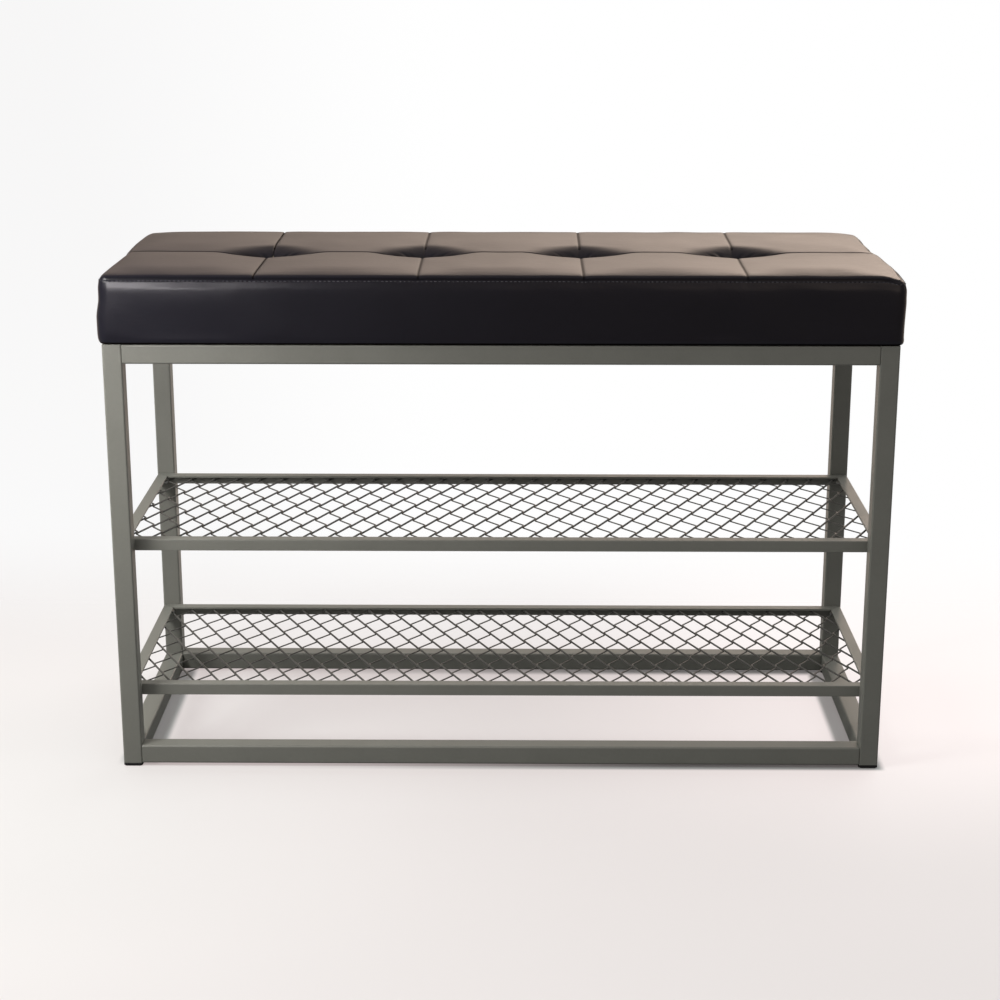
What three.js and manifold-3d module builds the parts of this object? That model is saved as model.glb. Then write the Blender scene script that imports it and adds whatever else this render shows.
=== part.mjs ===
// Entryway bench: a bolted frame of square steel tube, two shoe shelves of expanded metal in
// angle-section edges, and a tufted seat cushion screwed down on the frame.
// Millimetres, +Z up. The origin is on the floor under the middle of the bench. +X runs to the
// right along its length, and -Y is its front.

import * as THREE from 'three';
import { mergeVertices } from 'three/addons/utils/BufferGeometryUtils.js';
import Module from 'manifold-3d';

const wasm = await Module();
wasm.setup();

// ---------------------------------------------------------------------------
// Driving dimensions
// ---------------------------------------------------------------------------

// Frame
const FRAME_LENGTH = 800;
const FRAME_DEPTH = 300;
const LEG_LENGTH = 453;
const TUBE_SIZE = 20;
const TUBE_WALL = 1.2;
const TUBE_CORNER = 2;
const RAIL_END_PLATE = 3;

// Feet
const FOOT_HEIGHT = 3.5;
const FOOT_CHAMFER = 1.2;
const FOOT_STEM_FIT = 0.3;

// Shelves: heights are those of the top faces above the floor
const UPPER_SHELF_TOP = 246;
const LOWER_SHELF_TOP = 85.5;
const ANGLE_SIZE = 12;
const ANGLE_THICKNESS = 2.5;
const ANGLE_CORNER = 1;
const SHELF_LEG_GAP = 0.4;
const SHELF_END_INSET = 1.3;
const MITRE_GAP = 0.2;

// Expanded-metal panels: the long way of each diamond runs from front to rear
const DIAMOND_LENGTH = 51.8;
const DIAMOND_WIDTH = 26.2;
const STRAND_WIDTH = 2;
const UPPER_PATTERN_X = -2.5;
const UPPER_PATTERN_Y = 12.5;
const LOWER_PATTERN_Y = -9;
const PANEL_THICKNESS = 2;
const PANEL_MARGIN = 1.5;
const PANEL_CLEARANCE = 0.7;

// Seat cushion
const SEAT_OVERHANG = 3;
const SEAT_HEIGHT = 70;
const SEAT_CORNER = 10;
const SEAT_EDGE = 5;
const COVER_THICKNESS = 1.5;
const HEM_WIDTH = 30;
const BOARD_THICKNESS = 12;
const SOFT_GAP = 0.3;
const TUFT_COUNT = 4;
const END_PANEL_LENGTH = 155.5;
const TUFT_RADIUS = 30;
const TUFT_FLOOR_RADIUS = 4;
const TUFT_DEPTH = 11;
const TIE_RADIUS = 1;
const TIE_WASHER_RADIUS = 7;
const TIE_WASHER_THICKNESS = 1;
const DUST_COVER_THICKNESS = 0.8;
const DUST_COVER_INSET = 2;

// Fasteners
const HOLE_CLEARANCE = 0.2;
const RAIL_BOLT_RADIUS = 3;
const RAIL_BOLT_HEAD_RADIUS = 5.8;
const RAIL_BOLT_ENGAGEMENT = 4;
const HEX_KEY_SIZE = 4;
const HEX_KEY_DEPTH = 2;
const SHELF_SCREW_RADIUS = 2;
const SHELF_SCREW_HEAD_RADIUS = 3.4;
const SHELF_SCREW_HEAD_HEIGHT = 2.2;
const SHELF_SCREW_DROP = 8.3;
const SHELF_SCREW_ENGAGEMENT = 4;
const SEAT_SCREW_RADIUS = 2;
const SEAT_SCREW_HEAD_RADIUS = 4.2;
const SEAT_SCREW_HEAD_HEIGHT = 2.8;
const SEAT_SCREW_INSET = 100;
const SEAT_SCREW_BITE = 9;
const SEAT_SCREW_ACCESS = 1.3;

// Facets: a corner arc has two for each step here, and a hole's flats stay outside its true radius
const CORNER_FACETS = 1;
const SEAT_CORNER_FACETS = 2;
const SEAT_EDGE_FACETS = 2;
const ROUND_FACETS = 8;
const OVER_FLATS = 1 / Math.cos(Math.PI / ROUND_FACETS);

// ---------------------------------------------------------------------------
// Places worked out from the driving dimensions
// ---------------------------------------------------------------------------

const LEG_X = (FRAME_LENGTH - TUBE_SIZE) / 2;
const LEG_Y = (FRAME_DEPTH - TUBE_SIZE) / 2;
const TUBE_BORE = TUBE_SIZE - 2 * TUBE_WALL;
const TUBE_BORE_CORNER = Math.max(TUBE_CORNER - TUBE_WALL, 0);
const RAIL_DROP = TUBE_SIZE / 2;
const FRAME_TOP = FOOT_HEIGHT + LEG_LENGTH;
const FOOT_STEM = RAIL_DROP - RAIL_BOLT_HEAD_RADIUS - FOOT_STEM_FIT;
const LONG_RAIL_LENGTH = FRAME_LENGTH - 2 * TUBE_SIZE;
const SIDE_RAIL_LENGTH = FRAME_DEPTH - 2 * TUBE_SIZE;
const SHELF_LENGTH = FRAME_LENGTH - 2 * SHELF_END_INSET;
const SHELF_DEPTH = SIDE_RAIL_LENGTH - 2 * SHELF_LEG_GAP;
const SEAT_LENGTH = FRAME_LENGTH + 2 * SEAT_OVERHANG;
const SEAT_DEPTH = FRAME_DEPTH + 2 * SEAT_OVERHANG;
const BOARD_BOTTOM = COVER_THICKNESS + SOFT_GAP;
const BOARD_TOP = BOARD_BOTTOM + BOARD_THICKNESS;
const SEAM_SPACING = (SEAT_LENGTH - 2 * END_PANEL_LENGTH) / (TUFT_COUNT - 1);
const FIRST_TUFT_X = END_PANEL_LENGTH - SEAT_LENGTH / 2;
const TUFT_XS = Array.from({ length: TUFT_COUNT }, (_, i) => FIRST_TUFT_X + i * SEAM_SPACING);
const SEAT_SCREW_X = FRAME_LENGTH / 2 - SEAT_SCREW_INSET;

const SIDES = { left: -1, right: 1 };
const ENDS = { front: -1, rear: 1 };

// ---------------------------------------------------------------------------
// Materials
// ---------------------------------------------------------------------------

function finish(color, roughness, metalness) {
  return new THREE.MeshStandardMaterial({ color, roughness, metalness });
}

const FRAME_PAINT = finish(0x74736b, 0.45, 0.2);
const FOOT_PLASTIC = finish(0x141416, 0.5, 0);
const SEAT_LEATHER = finish(0x1d1b20, 0.4, 0);
const SEAT_FOAM = finish(0xe6d9b8, 0.95, 0);
const SEAT_BOARD = finish(0xc8a777, 0.8, 0);
const DUST_CLOTH = finish(0x1b1b1b, 0.95, 0);
const TIE_TWINE = finish(0xd9d3c2, 0.9, 0);
const BOLT_STEEL = finish(0x3a3a3a, 0.4, 0.9);
const SCREW_STEEL = finish(0xb9bab8, 0.35, 0.9);

// ---------------------------------------------------------------------------
// Solids
// ---------------------------------------------------------------------------

// A closed three.js geometry as a manifold solid: shared corners merged, collapsed faces dropped.
function toSolid(geometry) {
  const corners = geometry.index ? geometry.toNonIndexed() : geometry;
  corners.deleteAttribute('normal');
  corners.deleteAttribute('uv');
  const merged = mergeVertices(corners);
  const faces = [];
  for (let i = 0; i < merged.index.count; i += 3) {
    const [a, b, c] = [0, 1, 2].map((step) => merged.index.getX(i + step));
    if (a !== b && b !== c && c !== a) faces.push(a, b, c);
  }
  const vertProperties = merged.attributes.position.array;
  const triVerts = Uint32Array.from(faces);
  return new wasm.Manifold(new wasm.Mesh({ numProp: 3, vertProperties, triVerts }));
}

function toGeometry(solid) {
  const { vertProperties, triVerts } = solid.getMesh();
  const geometry = new THREE.BufferGeometry();
  geometry.setAttribute('position', new THREE.BufferAttribute(vertProperties, 3));
  geometry.setIndex(new THREE.BufferAttribute(triVerts, 1));
  geometry.computeVertexNormals();
  return geometry;
}

// One solid with every cutter taken out of it.
const cut = (solid, cutters) => cutters.reduce((rest, cutter) => rest.subtract(cutter), solid);

// A rectangle with round corners, centred on the origin.
function roundedRectangle(width, height, radius, Outline = THREE.Shape) {
  const outline = new Outline();
  const x = width / 2 - radius;
  const y = height / 2 - radius;
  outline.absarc(x, y, radius, 0, Math.PI / 2);
  outline.absarc(-x, y, radius, Math.PI / 2, Math.PI);
  outline.absarc(-x, -y, radius, Math.PI, 1.5 * Math.PI);
  outline.absarc(x, -y, radius, 1.5 * Math.PI, 2 * Math.PI);
  outline.closePath();
  return outline;
}

// A section standing on z = 0, carried up by length.
function prism(section, length) {
  return new THREE.ExtrudeGeometry(section, {
    depth: length,
    bevelEnabled: false,
    curveSegments: CORNER_FACETS,
  });
}

// A box standing on z = 0, whose upright corners and whose top and bottom edges are round.
function roundedBox(width, depth, height, corner, edge) {
  const section = roundedRectangle(width - 2 * edge, depth - 2 * edge, corner - edge);
  const geometry = new THREE.ExtrudeGeometry(section, {
    depth: height - 2 * edge,
    bevelThickness: edge,
    bevelSize: edge,
    bevelSegments: SEAT_EDGE_FACETS,
    curveSegments: SEAT_CORNER_FACETS,
  });
  return geometry.translate(0, 0, edge);
}

// A plain box between two heights, centred in X and Y.
function block(width, depth, low, high) {
  return new THREE.BoxGeometry(width, depth, high - low).translate(0, 0, (low + high) / 2);
}

// A drill: a round bar through the point at, along the axis x, y or z.
function drill(radius, length, axis, at) {
  const outer = radius * OVER_FLATS;
  const geometry = new THREE.CylinderGeometry(outer, outer, length, ROUND_FACETS);
  if (axis === 'x') geometry.rotateZ(Math.PI / 2);
  if (axis === 'z') geometry.rotateX(Math.PI / 2);
  return toSolid(geometry.translate(...at));
}

// A turned solid standing up along Z, from its [radius, height] profile, listed from the bottom up.
function turned(profile) {
  const points = profile.map(([radius, height]) => new THREE.Vector2(radius, height));
  return toSolid(new THREE.LatheGeometry(points, ROUND_FACETS).rotateX(Math.PI / 2));
}

// ---------------------------------------------------------------------------
// Frame
// ---------------------------------------------------------------------------

function tubeSection() {
  const section = roundedRectangle(TUBE_SIZE, TUBE_SIZE, TUBE_CORNER);
  section.holes.push(roundedRectangle(TUBE_BORE, TUBE_BORE, TUBE_BORE_CORNER, THREE.Path));
  return section;
}

// A leg on its own foot: side says which way its outer face looks, end whether it is front or rear.
function legGeometry(side, end) {
  const boltHoles = [RAIL_DROP, LEG_LENGTH - RAIL_DROP].flatMap((height) => {
    const coneDepth = RAIL_BOLT_HEAD_RADIUS - RAIL_BOLT_RADIUS;
    const countersink = new THREE.CylinderGeometry(
      (RAIL_BOLT_HEAD_RADIUS + HOLE_CLEARANCE) * OVER_FLATS,
      (RAIL_BOLT_RADIUS + HOLE_CLEARANCE) * OVER_FLATS,
      coneDepth,
      ROUND_FACETS,
    );
    countersink.rotateZ((-side * Math.PI) / 2);
    countersink.translate((side * (TUBE_SIZE - coneDepth)) / 2, 0, height);
    const hole = drill(RAIL_BOLT_RADIUS + HOLE_CLEARANCE, 2 * TUBE_SIZE, 'x', [0, 0, height]);
    return [hole, toSolid(countersink)];
  });
  const shelfHoles = [UPPER_SHELF_TOP, LOWER_SHELF_TOP].map((top) => {
    const height = top - SHELF_SCREW_DROP - FOOT_HEIGHT;
    return drill(SHELF_SCREW_RADIUS + HOLE_CLEARANCE, TUBE_SIZE, 'y', [0, (-end * TUBE_SIZE) / 2, height]);
  });
  return toGeometry(cut(toSolid(prism(tubeSection(), LEG_LENGTH)), [...boltHoles, ...shelfHoles]));
}

// A plug under a leg: a chamfered pad as wide as the tube, with a stem up its bore.
function footGeometry() {
  const pad = new THREE.ExtrudeGeometry(
    roundedRectangle(TUBE_SIZE - 2 * FOOT_CHAMFER, TUBE_SIZE - 2 * FOOT_CHAMFER, FOOT_CHAMFER),
    {
      depth: 2 * (FOOT_HEIGHT - FOOT_CHAMFER),
      bevelThickness: FOOT_CHAMFER,
      bevelSize: FOOT_CHAMFER,
      bevelSegments: 1,
      curveSegments: CORNER_FACETS,
    },
  ).translate(0, 0, FOOT_CHAMFER);
  const stemWidth = TUBE_BORE - 2 * FOOT_STEM_FIT;
  const upperHalf = toSolid(block(2 * TUBE_SIZE, 2 * TUBE_SIZE, FOOT_HEIGHT, 3 * FOOT_HEIGHT));
  const stem = toSolid(block(stemWidth, stemWidth, FOOT_HEIGHT / 2, FOOT_HEIGHT + FOOT_STEM));
  return toGeometry(toSolid(pad).subtract(upperHalf).add(stem));
}

// A long rail lies along X between two legs. A plate closes each end and takes a bolt.
// A top rail is also drilled for the seat screws, which go in through a wider hole in its underside
// and bear on the inside of its upper wall.
function longRailGeometry(isTop) {
  const lieDown = (geometry) => geometry.rotateY(Math.PI / 2);
  const length = LONG_RAIL_LENGTH;
  const boreLength = length - 2 * RAIL_END_PLATE;
  const outside = prism(roundedRectangle(TUBE_SIZE, TUBE_SIZE, TUBE_CORNER), length);
  outside.translate(0, 0, -length / 2);
  const bore = prism(roundedRectangle(TUBE_BORE, TUBE_BORE, TUBE_BORE_CORNER), boreLength);
  bore.translate(0, 0, -boreLength / 2);
  const holes = [drill(RAIL_BOLT_RADIUS + HOLE_CLEARANCE, length + TUBE_SIZE, 'x', [0, 0, 0])];
  if (isTop) {
    for (const x of [-SEAT_SCREW_X, SEAT_SCREW_X]) {
      holes.push(drill(SEAT_SCREW_RADIUS + HOLE_CLEARANCE, TUBE_SIZE, 'z', [x, 0, TUBE_SIZE / 2]));
      holes.push(drill(SEAT_SCREW_HEAD_RADIUS + SEAT_SCREW_ACCESS, TUBE_SIZE, 'z', [x, 0, -TUBE_SIZE / 2]));
    }
  }
  return toGeometry(cut(toSolid(lieDown(outside)), [toSolid(lieDown(bore)), ...holes]));
}

// A side rail is an open tube along Y, welded between the front and the rear leg.
function sideRailGeometry() {
  const tube = prism(tubeSection(), SIDE_RAIL_LENGTH).translate(0, 0, -SIDE_RAIL_LENGTH / 2);
  return toGeometry(toSolid(tube.rotateX(Math.PI / 2)));
}

// ---------------------------------------------------------------------------
// Shelves
// ---------------------------------------------------------------------------

// An edge bar of a shelf, as the front one lies: its outer face on y = 0, its top face on z = 0,
// its flange reaching inwards along +Y. Its ends are mitred, and a front or rear bar is drilled.
function edgeBarGeometry(length, isDrilled) {
  const section = new THREE.Shape();
  section.moveTo(ANGLE_SIZE, 0);
  section.lineTo(ANGLE_CORNER, 0);
  section.absarc(ANGLE_CORNER, -ANGLE_CORNER, ANGLE_CORNER, Math.PI / 2, Math.PI);
  section.lineTo(0, -ANGLE_SIZE);
  section.lineTo(ANGLE_THICKNESS, -ANGLE_SIZE);
  section.lineTo(ANGLE_THICKNESS, -ANGLE_THICKNESS);
  section.lineTo(ANGLE_SIZE, -ANGLE_THICKNESS);
  section.closePath();
  const bar = prism(section, length).translate(0, 0, -length / 2);
  bar.rotateX(Math.PI / 2);
  bar.rotateZ(Math.PI / 2);
  const corners = bar.attributes.position;
  for (let i = 0; i < corners.count; i += 1) {
    const mitre = corners.getY(i) + MITRE_GAP;
    corners.setX(i, corners.getX(i) - Math.sign(corners.getX(i)) * mitre);
  }
  if (!isDrilled) return toGeometry(toSolid(bar));
  const holes = [-LEG_X, LEG_X].map((x) =>
    drill(SHELF_SCREW_RADIUS + HOLE_CLEARANCE, ANGLE_SIZE, 'y', [x, 0, -SHELF_SCREW_DROP]),
  );
  return toGeometry(cut(toSolid(bar), holes));
}

// The part of a polygon on one side of a line: axis is 'x' or 'y', and sign * value <= limit is kept.
function clip(polygon, axis, sign, limit) {
  const kept = [];
  polygon.forEach((here, i) => {
    const next = polygon[(i + 1) % polygon.length];
    const [from, to] = [here, next].map((point) => sign * point[axis] - limit);
    if (from <= 0) kept.push(here);
    if (from * to < 0) kept.push(here.clone().lerp(next, from / (from - to)));
  });
  return kept;
}

// An expanded-metal panel, flat under z = 0. Its diamonds stop at a plain margin. Each panel was cut
// off the sheet at its own place: one diamond's centre lies at patternX and patternY from the middle.
function meshPanelGeometry(patternX, patternY) {
  const inside = 2 * (ANGLE_THICKNESS + PANEL_CLEARANCE);
  const panelX = (SHELF_LENGTH - inside) / 2;
  const panelY = (SHELF_DEPTH - inside) / 2;
  const openX = panelX - PANEL_MARGIN;
  const openY = panelY - PANEL_MARGIN;
  const stepX = DIAMOND_WIDTH / 2;
  const stepY = DIAMOND_LENGTH / 2;
  const strandDistance = (stepX * stepY) / Math.hypot(stepX, stepY);
  const openShare = 1 - STRAND_WIDTH / 2 / strandDistance;
  const diamonds = [];
  const columns = Math.ceil((openX + Math.abs(patternX)) / stepX);
  const rows = Math.ceil((openY + Math.abs(patternY)) / stepY);
  for (let column = -columns; column <= columns; column += 1) {
    for (let row = -rows; row <= rows; row += 1) {
      if ((column + row) % 2 !== 0) continue;
      const centre = new THREE.Vector2(column * stepX + patternX, row * stepY + patternY);
      let diamond = [[1, 0], [0, 1], [-1, 0], [0, -1]].map(([x, y]) =>
        new THREE.Vector2(x * stepX * openShare, y * stepY * openShare).add(centre),
      );
      diamond = clip(clip(diamond, 'x', 1, openX), 'x', -1, openX);
      diamond = clip(clip(diamond, 'y', 1, openY), 'y', -1, openY);
      const isWorthCutting = Math.abs(THREE.ShapeUtils.area(diamond)) > STRAND_WIDTH ** 2;
      if (diamond.length > 2 && isWorthCutting) diamonds.push(new THREE.Shape(diamond));
    }
  }
  const plate = toSolid(block(2 * panelX, 2 * panelY, -PANEL_THICKNESS, 0));
  const openings = toSolid(prism(diamonds, 3 * PANEL_THICKNESS).translate(0, 0, -2 * PANEL_THICKNESS));
  return toGeometry(plate.subtract(openings));
}

// ---------------------------------------------------------------------------
// Seat: everything stands on z = 0, the top of the frame
// ---------------------------------------------------------------------------

// The tufted dimples as cones, grown by an offset for the layers under the cover.
function tuftCones(offset) {
  const slope = (TUFT_RADIUS - TUFT_FLOOR_RADIUS) / TUFT_DEPTH;
  const spare = offset + 1;
  return TUFT_XS.map((x) => {
    const cone = new THREE.CylinderGeometry(
      TUFT_RADIUS + offset + slope * spare,
      TUFT_FLOOR_RADIUS + offset,
      TUFT_DEPTH + spare,
      ROUND_FACETS + 4,
    );
    cone.rotateX(Math.PI / 2);
    return toSolid(cone.translate(x, 0, SEAT_HEIGHT - TUFT_DEPTH - offset + (TUFT_DEPTH + spare) / 2));
  });
}

// The cushion's outer form, drawn in by inset on all sides.
function cushionForm(inset) {
  return toSolid(
    roundedBox(
      SEAT_LENGTH - 2 * inset,
      SEAT_DEPTH - 2 * inset,
      SEAT_HEIGHT - 2 * inset,
      SEAT_CORNER - inset,
      SEAT_EDGE - inset,
    ).translate(0, 0, inset),
  );
}

// Upright holes for the seat screws, through whatever is drilled with them.
const seatScrewPlaces = [-SEAT_SCREW_X, SEAT_SCREW_X].flatMap((x) => [-LEG_Y, LEG_Y].map((y) => [x, y]));
const seatScrewHoles = (low, high) =>
  seatScrewPlaces.map(([x, y]) =>
    drill(SEAT_SCREW_RADIUS + HOLE_CLEARANCE, high - low, 'z', [x, y, (low + high) / 2]),
  );

// The cover: top, sides and a hem folded under the board.
function coverGeometry() {
  const inside = cut(cushionForm(COVER_THICKNESS), tuftCones(COVER_THICKNESS));
  const mouth = block(SEAT_LENGTH - 2 * HEM_WIDTH, SEAT_DEPTH - 2 * HEM_WIDTH, -1, 2 * COVER_THICKNESS);
  const screwHoles = seatScrewHoles(-1, BOARD_BOTTOM);
  return toGeometry(cut(cushionForm(0), [...tuftCones(0), inside, toSolid(mouth), ...screwHoles]));
}

function foamGeometry() {
  const inset = COVER_THICKNESS + SOFT_GAP;
  const under = toSolid(block(2 * SEAT_LENGTH, 2 * SEAT_DEPTH, -SEAT_HEIGHT, BOARD_TOP + SOFT_GAP));
  const ties = TUFT_XS.map((x) => drill(TIE_RADIUS + SOFT_GAP, 4 * SEAT_HEIGHT, 'z', [x, 0, 0]));
  return toGeometry(cut(cushionForm(inset), [under, ...tuftCones(inset), ...ties]));
}

function boardGeometry() {
  const length = SEAT_LENGTH - 2 * SEAT_EDGE;
  const depth = SEAT_DEPTH - 2 * SEAT_EDGE;
  const outline = roundedRectangle(length, depth, SEAT_CORNER - SEAT_EDGE);
  const board = toSolid(prism(outline, BOARD_THICKNESS).translate(0, 0, BOARD_BOTTOM));
  const ties = TUFT_XS.map((x) => drill(TIE_RADIUS + SOFT_GAP, 4 * SEAT_HEIGHT, 'z', [x, 0, 0]));
  const pilotTop = BOARD_BOTTOM + SEAT_SCREW_BITE + HOLE_CLEARANCE;
  return toGeometry(cut(board, [...ties, ...seatScrewHoles(0, pilotTop)]));
}

// A tuft tie: twine from the floor of a dimple down to a washer under the board.
function tieGeometry() {
  const top = SEAT_HEIGHT - TUFT_DEPTH - COVER_THICKNESS - SOFT_GAP;
  const washerTop = BOARD_BOTTOM - SOFT_GAP;
  return toGeometry(
    turned([
      [0, washerTop - TIE_WASHER_THICKNESS],
      [TIE_WASHER_RADIUS, washerTop - TIE_WASHER_THICKNESS],
      [TIE_WASHER_RADIUS, washerTop],
      [TIE_RADIUS, washerTop],
      [TIE_RADIUS, top],
      [0, top],
    ]),
  );
}

// The dust cover lies under the hem, in the opening of the frame.
function dustCoverGeometry() {
  const inset = 2 * (TUBE_SIZE + DUST_COVER_INSET);
  const outline = roundedRectangle(FRAME_LENGTH - inset, FRAME_DEPTH - inset, SEAT_CORNER - SEAT_EDGE);
  return toGeometry(toSolid(prism(outline, DUST_COVER_THICKNESS).translate(0, 0, -DUST_COVER_THICKNESS)));
}

// ---------------------------------------------------------------------------
// Fasteners: each stands on z = 0 with its shank up, to be turned into place
// ---------------------------------------------------------------------------

// A countersunk bolt, its flat head on z = 0, with a hexagon socket.
function railBoltGeometry() {
  const length = TUBE_SIZE + RAIL_END_PLATE + RAIL_BOLT_ENGAGEMENT;
  const bolt = turned([
    [0, 0],
    [RAIL_BOLT_HEAD_RADIUS, 0],
    [RAIL_BOLT_RADIUS, RAIL_BOLT_HEAD_RADIUS - RAIL_BOLT_RADIUS],
    [RAIL_BOLT_RADIUS, length - RAIL_BOLT_RADIUS / 3],
    [(RAIL_BOLT_RADIUS * 2) / 3, length],
    [0, length],
  ]);
  const acrossCorners = HEX_KEY_SIZE / Math.cos(Math.PI / 6);
  const socket = new THREE.CylinderGeometry(acrossCorners / 2, acrossCorners / 2, 2 * HEX_KEY_DEPTH, 6);
  return toGeometry(bolt.subtract(toSolid(socket.rotateX(Math.PI / 2))));
}

// A pan-head screw: the head's bearing face is on z = 0, and the shank runs up to length.
function panScrewGeometry(radius, headRadius, headHeight, length) {
  return toGeometry(
    turned([
      [0, -headHeight],
      [headRadius * 0.6, -headHeight],
      [headRadius, -headHeight / 2],
      [headRadius, 0],
      [radius, 0],
      [radius, length - radius],
      [radius / 3, length],
      [0, length],
    ]),
  );
}

// ---------------------------------------------------------------------------
// Assembly
// ---------------------------------------------------------------------------

const bench = new THREE.Group();

function place(name, geometry, material, at, turn = [0, 0, 0], parent = bench) {
  const mesh = new THREE.Mesh(geometry, material.clone());
  mesh.name = name;
  mesh.position.set(...at);
  mesh.rotation.set(...turn);
  parent.add(mesh);
}

const everyCorner = (visit) => {
  for (const [endName, end] of Object.entries(ENDS)) {
    for (const [sideName, side] of Object.entries(SIDES)) visit(`${endName}_${sideName}`, side, end);
  }
};

const topRailZ = FRAME_TOP - RAIL_DROP;
const bottomRailZ = FOOT_HEIGHT + RAIL_DROP;

everyCorner((corner, side, end) => {
  place(`leg_${corner}`, legGeometry(side, end), FRAME_PAINT, [side * LEG_X, end * LEG_Y, FOOT_HEIGHT]);
  place(`foot_${corner}`, footGeometry(), FOOT_PLASTIC, [side * LEG_X, end * LEG_Y, 0]);
});

for (const [level, height] of [['top', topRailZ], ['bottom', bottomRailZ]]) {
  for (const [endName, end] of Object.entries(ENDS)) {
    const rail = longRailGeometry(level === 'top');
    place(`${level}_rail_${endName}`, rail, FRAME_PAINT, [0, end * LEG_Y, height]);
  }
  for (const [sideName, side] of Object.entries(SIDES)) {
    place(`${level}_rail_${sideName}`, sideRailGeometry(), FRAME_PAINT, [side * LEG_X, 0, height]);
  }
  everyCorner((corner, side, end) => {
    const at = [(side * FRAME_LENGTH) / 2, end * LEG_Y, height];
    const turn = [0, (-side * Math.PI) / 2, 0];
    place(`rail_bolt_${level}_${corner}`, railBoltGeometry(), BOLT_STEEL, at, turn);
  });
}

for (const [level, top] of [['upper', UPPER_SHELF_TOP], ['lower', LOWER_SHELF_TOP]]) {
  const shelf = new THREE.Group();
  shelf.position.z = top;
  bench.add(shelf);
  const placeBar = (name, geometry, at, turn) =>
    place(`${level}_shelf_edge_${name}`, geometry, FRAME_PAINT, at, [0, 0, turn], shelf);
  placeBar('front', edgeBarGeometry(SHELF_LENGTH, true), [0, -SHELF_DEPTH / 2, 0], 0);
  placeBar('rear', edgeBarGeometry(SHELF_LENGTH, true), [0, SHELF_DEPTH / 2, 0], Math.PI);
  placeBar('left', edgeBarGeometry(SHELF_DEPTH, false), [-SHELF_LENGTH / 2, 0, 0], -Math.PI / 2);
  placeBar('right', edgeBarGeometry(SHELF_DEPTH, false), [SHELF_LENGTH / 2, 0, 0], Math.PI / 2);
  const pattern = level === 'upper' ? [UPPER_PATTERN_X, UPPER_PATTERN_Y] : [0, LOWER_PATTERN_Y];
  const panelAt = [0, 0, -ANGLE_THICKNESS];
  place(`${level}_shelf_mesh`, meshPanelGeometry(...pattern), FRAME_PAINT, panelAt, [0, 0, 0], shelf);
  const gripLength = ANGLE_THICKNESS + SHELF_LEG_GAP + TUBE_WALL + SHELF_SCREW_ENGAGEMENT;
  everyCorner((corner, side, end) => {
    const screw = panScrewGeometry(
      SHELF_SCREW_RADIUS,
      SHELF_SCREW_HEAD_RADIUS,
      SHELF_SCREW_HEAD_HEIGHT,
      gripLength,
    );
    const at = [side * LEG_X, end * (SHELF_DEPTH / 2 - ANGLE_THICKNESS), -SHELF_SCREW_DROP];
    const turn = [(-end * Math.PI) / 2, 0, 0];
    place(`shelf_screw_${level}_${corner}`, screw, SCREW_STEEL, at, turn, shelf);
  });
}

const seat = new THREE.Group();
seat.position.z = FRAME_TOP;
bench.add(seat);
place('seat_board', boardGeometry(), SEAT_BOARD, [0, 0, 0], [0, 0, 0], seat);
place('seat_foam', foamGeometry(), SEAT_FOAM, [0, 0, 0], [0, 0, 0], seat);
place('seat_cover', coverGeometry(), SEAT_LEATHER, [0, 0, 0], [0, 0, 0], seat);
place('dust_cover', dustCoverGeometry(), DUST_CLOTH, [0, 0, 0], [0, 0, 0], seat);
TUFT_XS.forEach((x, i) => {
  place(`tuft_tie_${i + 1}`, tieGeometry(), TIE_TWINE, [x, 0, 0], [0, 0, 0], seat);
});
everyCorner((corner, side, end) => {
  const screw = panScrewGeometry(
    SEAT_SCREW_RADIUS,
    SEAT_SCREW_HEAD_RADIUS,
    SEAT_SCREW_HEAD_HEIGHT,
    TUBE_WALL + BOARD_BOTTOM + SEAT_SCREW_BITE,
  );
  const at = [side * SEAT_SCREW_X, end * LEG_Y, -TUBE_WALL];
  place(`seat_screw_${corner}`, screw, SCREW_STEEL, at, [0, 0, 0], seat);
});

export default bench;
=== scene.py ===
"""Entryway bench: a bolted frame of square tube, two expanded-metal shoe shelves and a tufted seat.

Laid out as an add-on. Each operator builds one piece, or one group of like pieces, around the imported
frame. Lengths are metres, +Z is up, +X runs along the bench and -Y is its front.
"""

import math
from contextlib import contextmanager
from functools import partial, reduce

import bmesh
import bpy
import numpy as np
from bpy.props import FloatProperty, FloatVectorProperty, PointerProperty
from bpy.types import Operator, Panel, PropertyGroup
from mathutils import Matrix, Vector
from mathutils.kdtree import KDTree


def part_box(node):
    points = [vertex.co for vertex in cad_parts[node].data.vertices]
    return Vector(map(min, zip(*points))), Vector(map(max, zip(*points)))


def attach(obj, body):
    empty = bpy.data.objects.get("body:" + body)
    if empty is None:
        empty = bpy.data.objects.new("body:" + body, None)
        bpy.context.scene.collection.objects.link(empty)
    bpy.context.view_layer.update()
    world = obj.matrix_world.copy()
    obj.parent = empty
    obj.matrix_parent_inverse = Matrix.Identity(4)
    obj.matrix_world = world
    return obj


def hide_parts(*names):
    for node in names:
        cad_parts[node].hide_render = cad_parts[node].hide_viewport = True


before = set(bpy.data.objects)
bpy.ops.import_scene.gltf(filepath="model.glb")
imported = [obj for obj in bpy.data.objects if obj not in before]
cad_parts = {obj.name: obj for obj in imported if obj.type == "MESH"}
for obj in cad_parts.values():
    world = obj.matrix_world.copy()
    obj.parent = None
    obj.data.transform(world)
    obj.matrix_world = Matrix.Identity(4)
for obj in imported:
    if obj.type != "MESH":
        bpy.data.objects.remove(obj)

bl_info = {
    "name": "Entryway Bench",
    "version": (1, 0, 0),
    "blender": (4, 5, 0),
    "location": "3D View > Sidebar > Bench",
    "description": "Builds an entryway shoe bench around its packed frame",
    "category": "Object",
}

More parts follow.
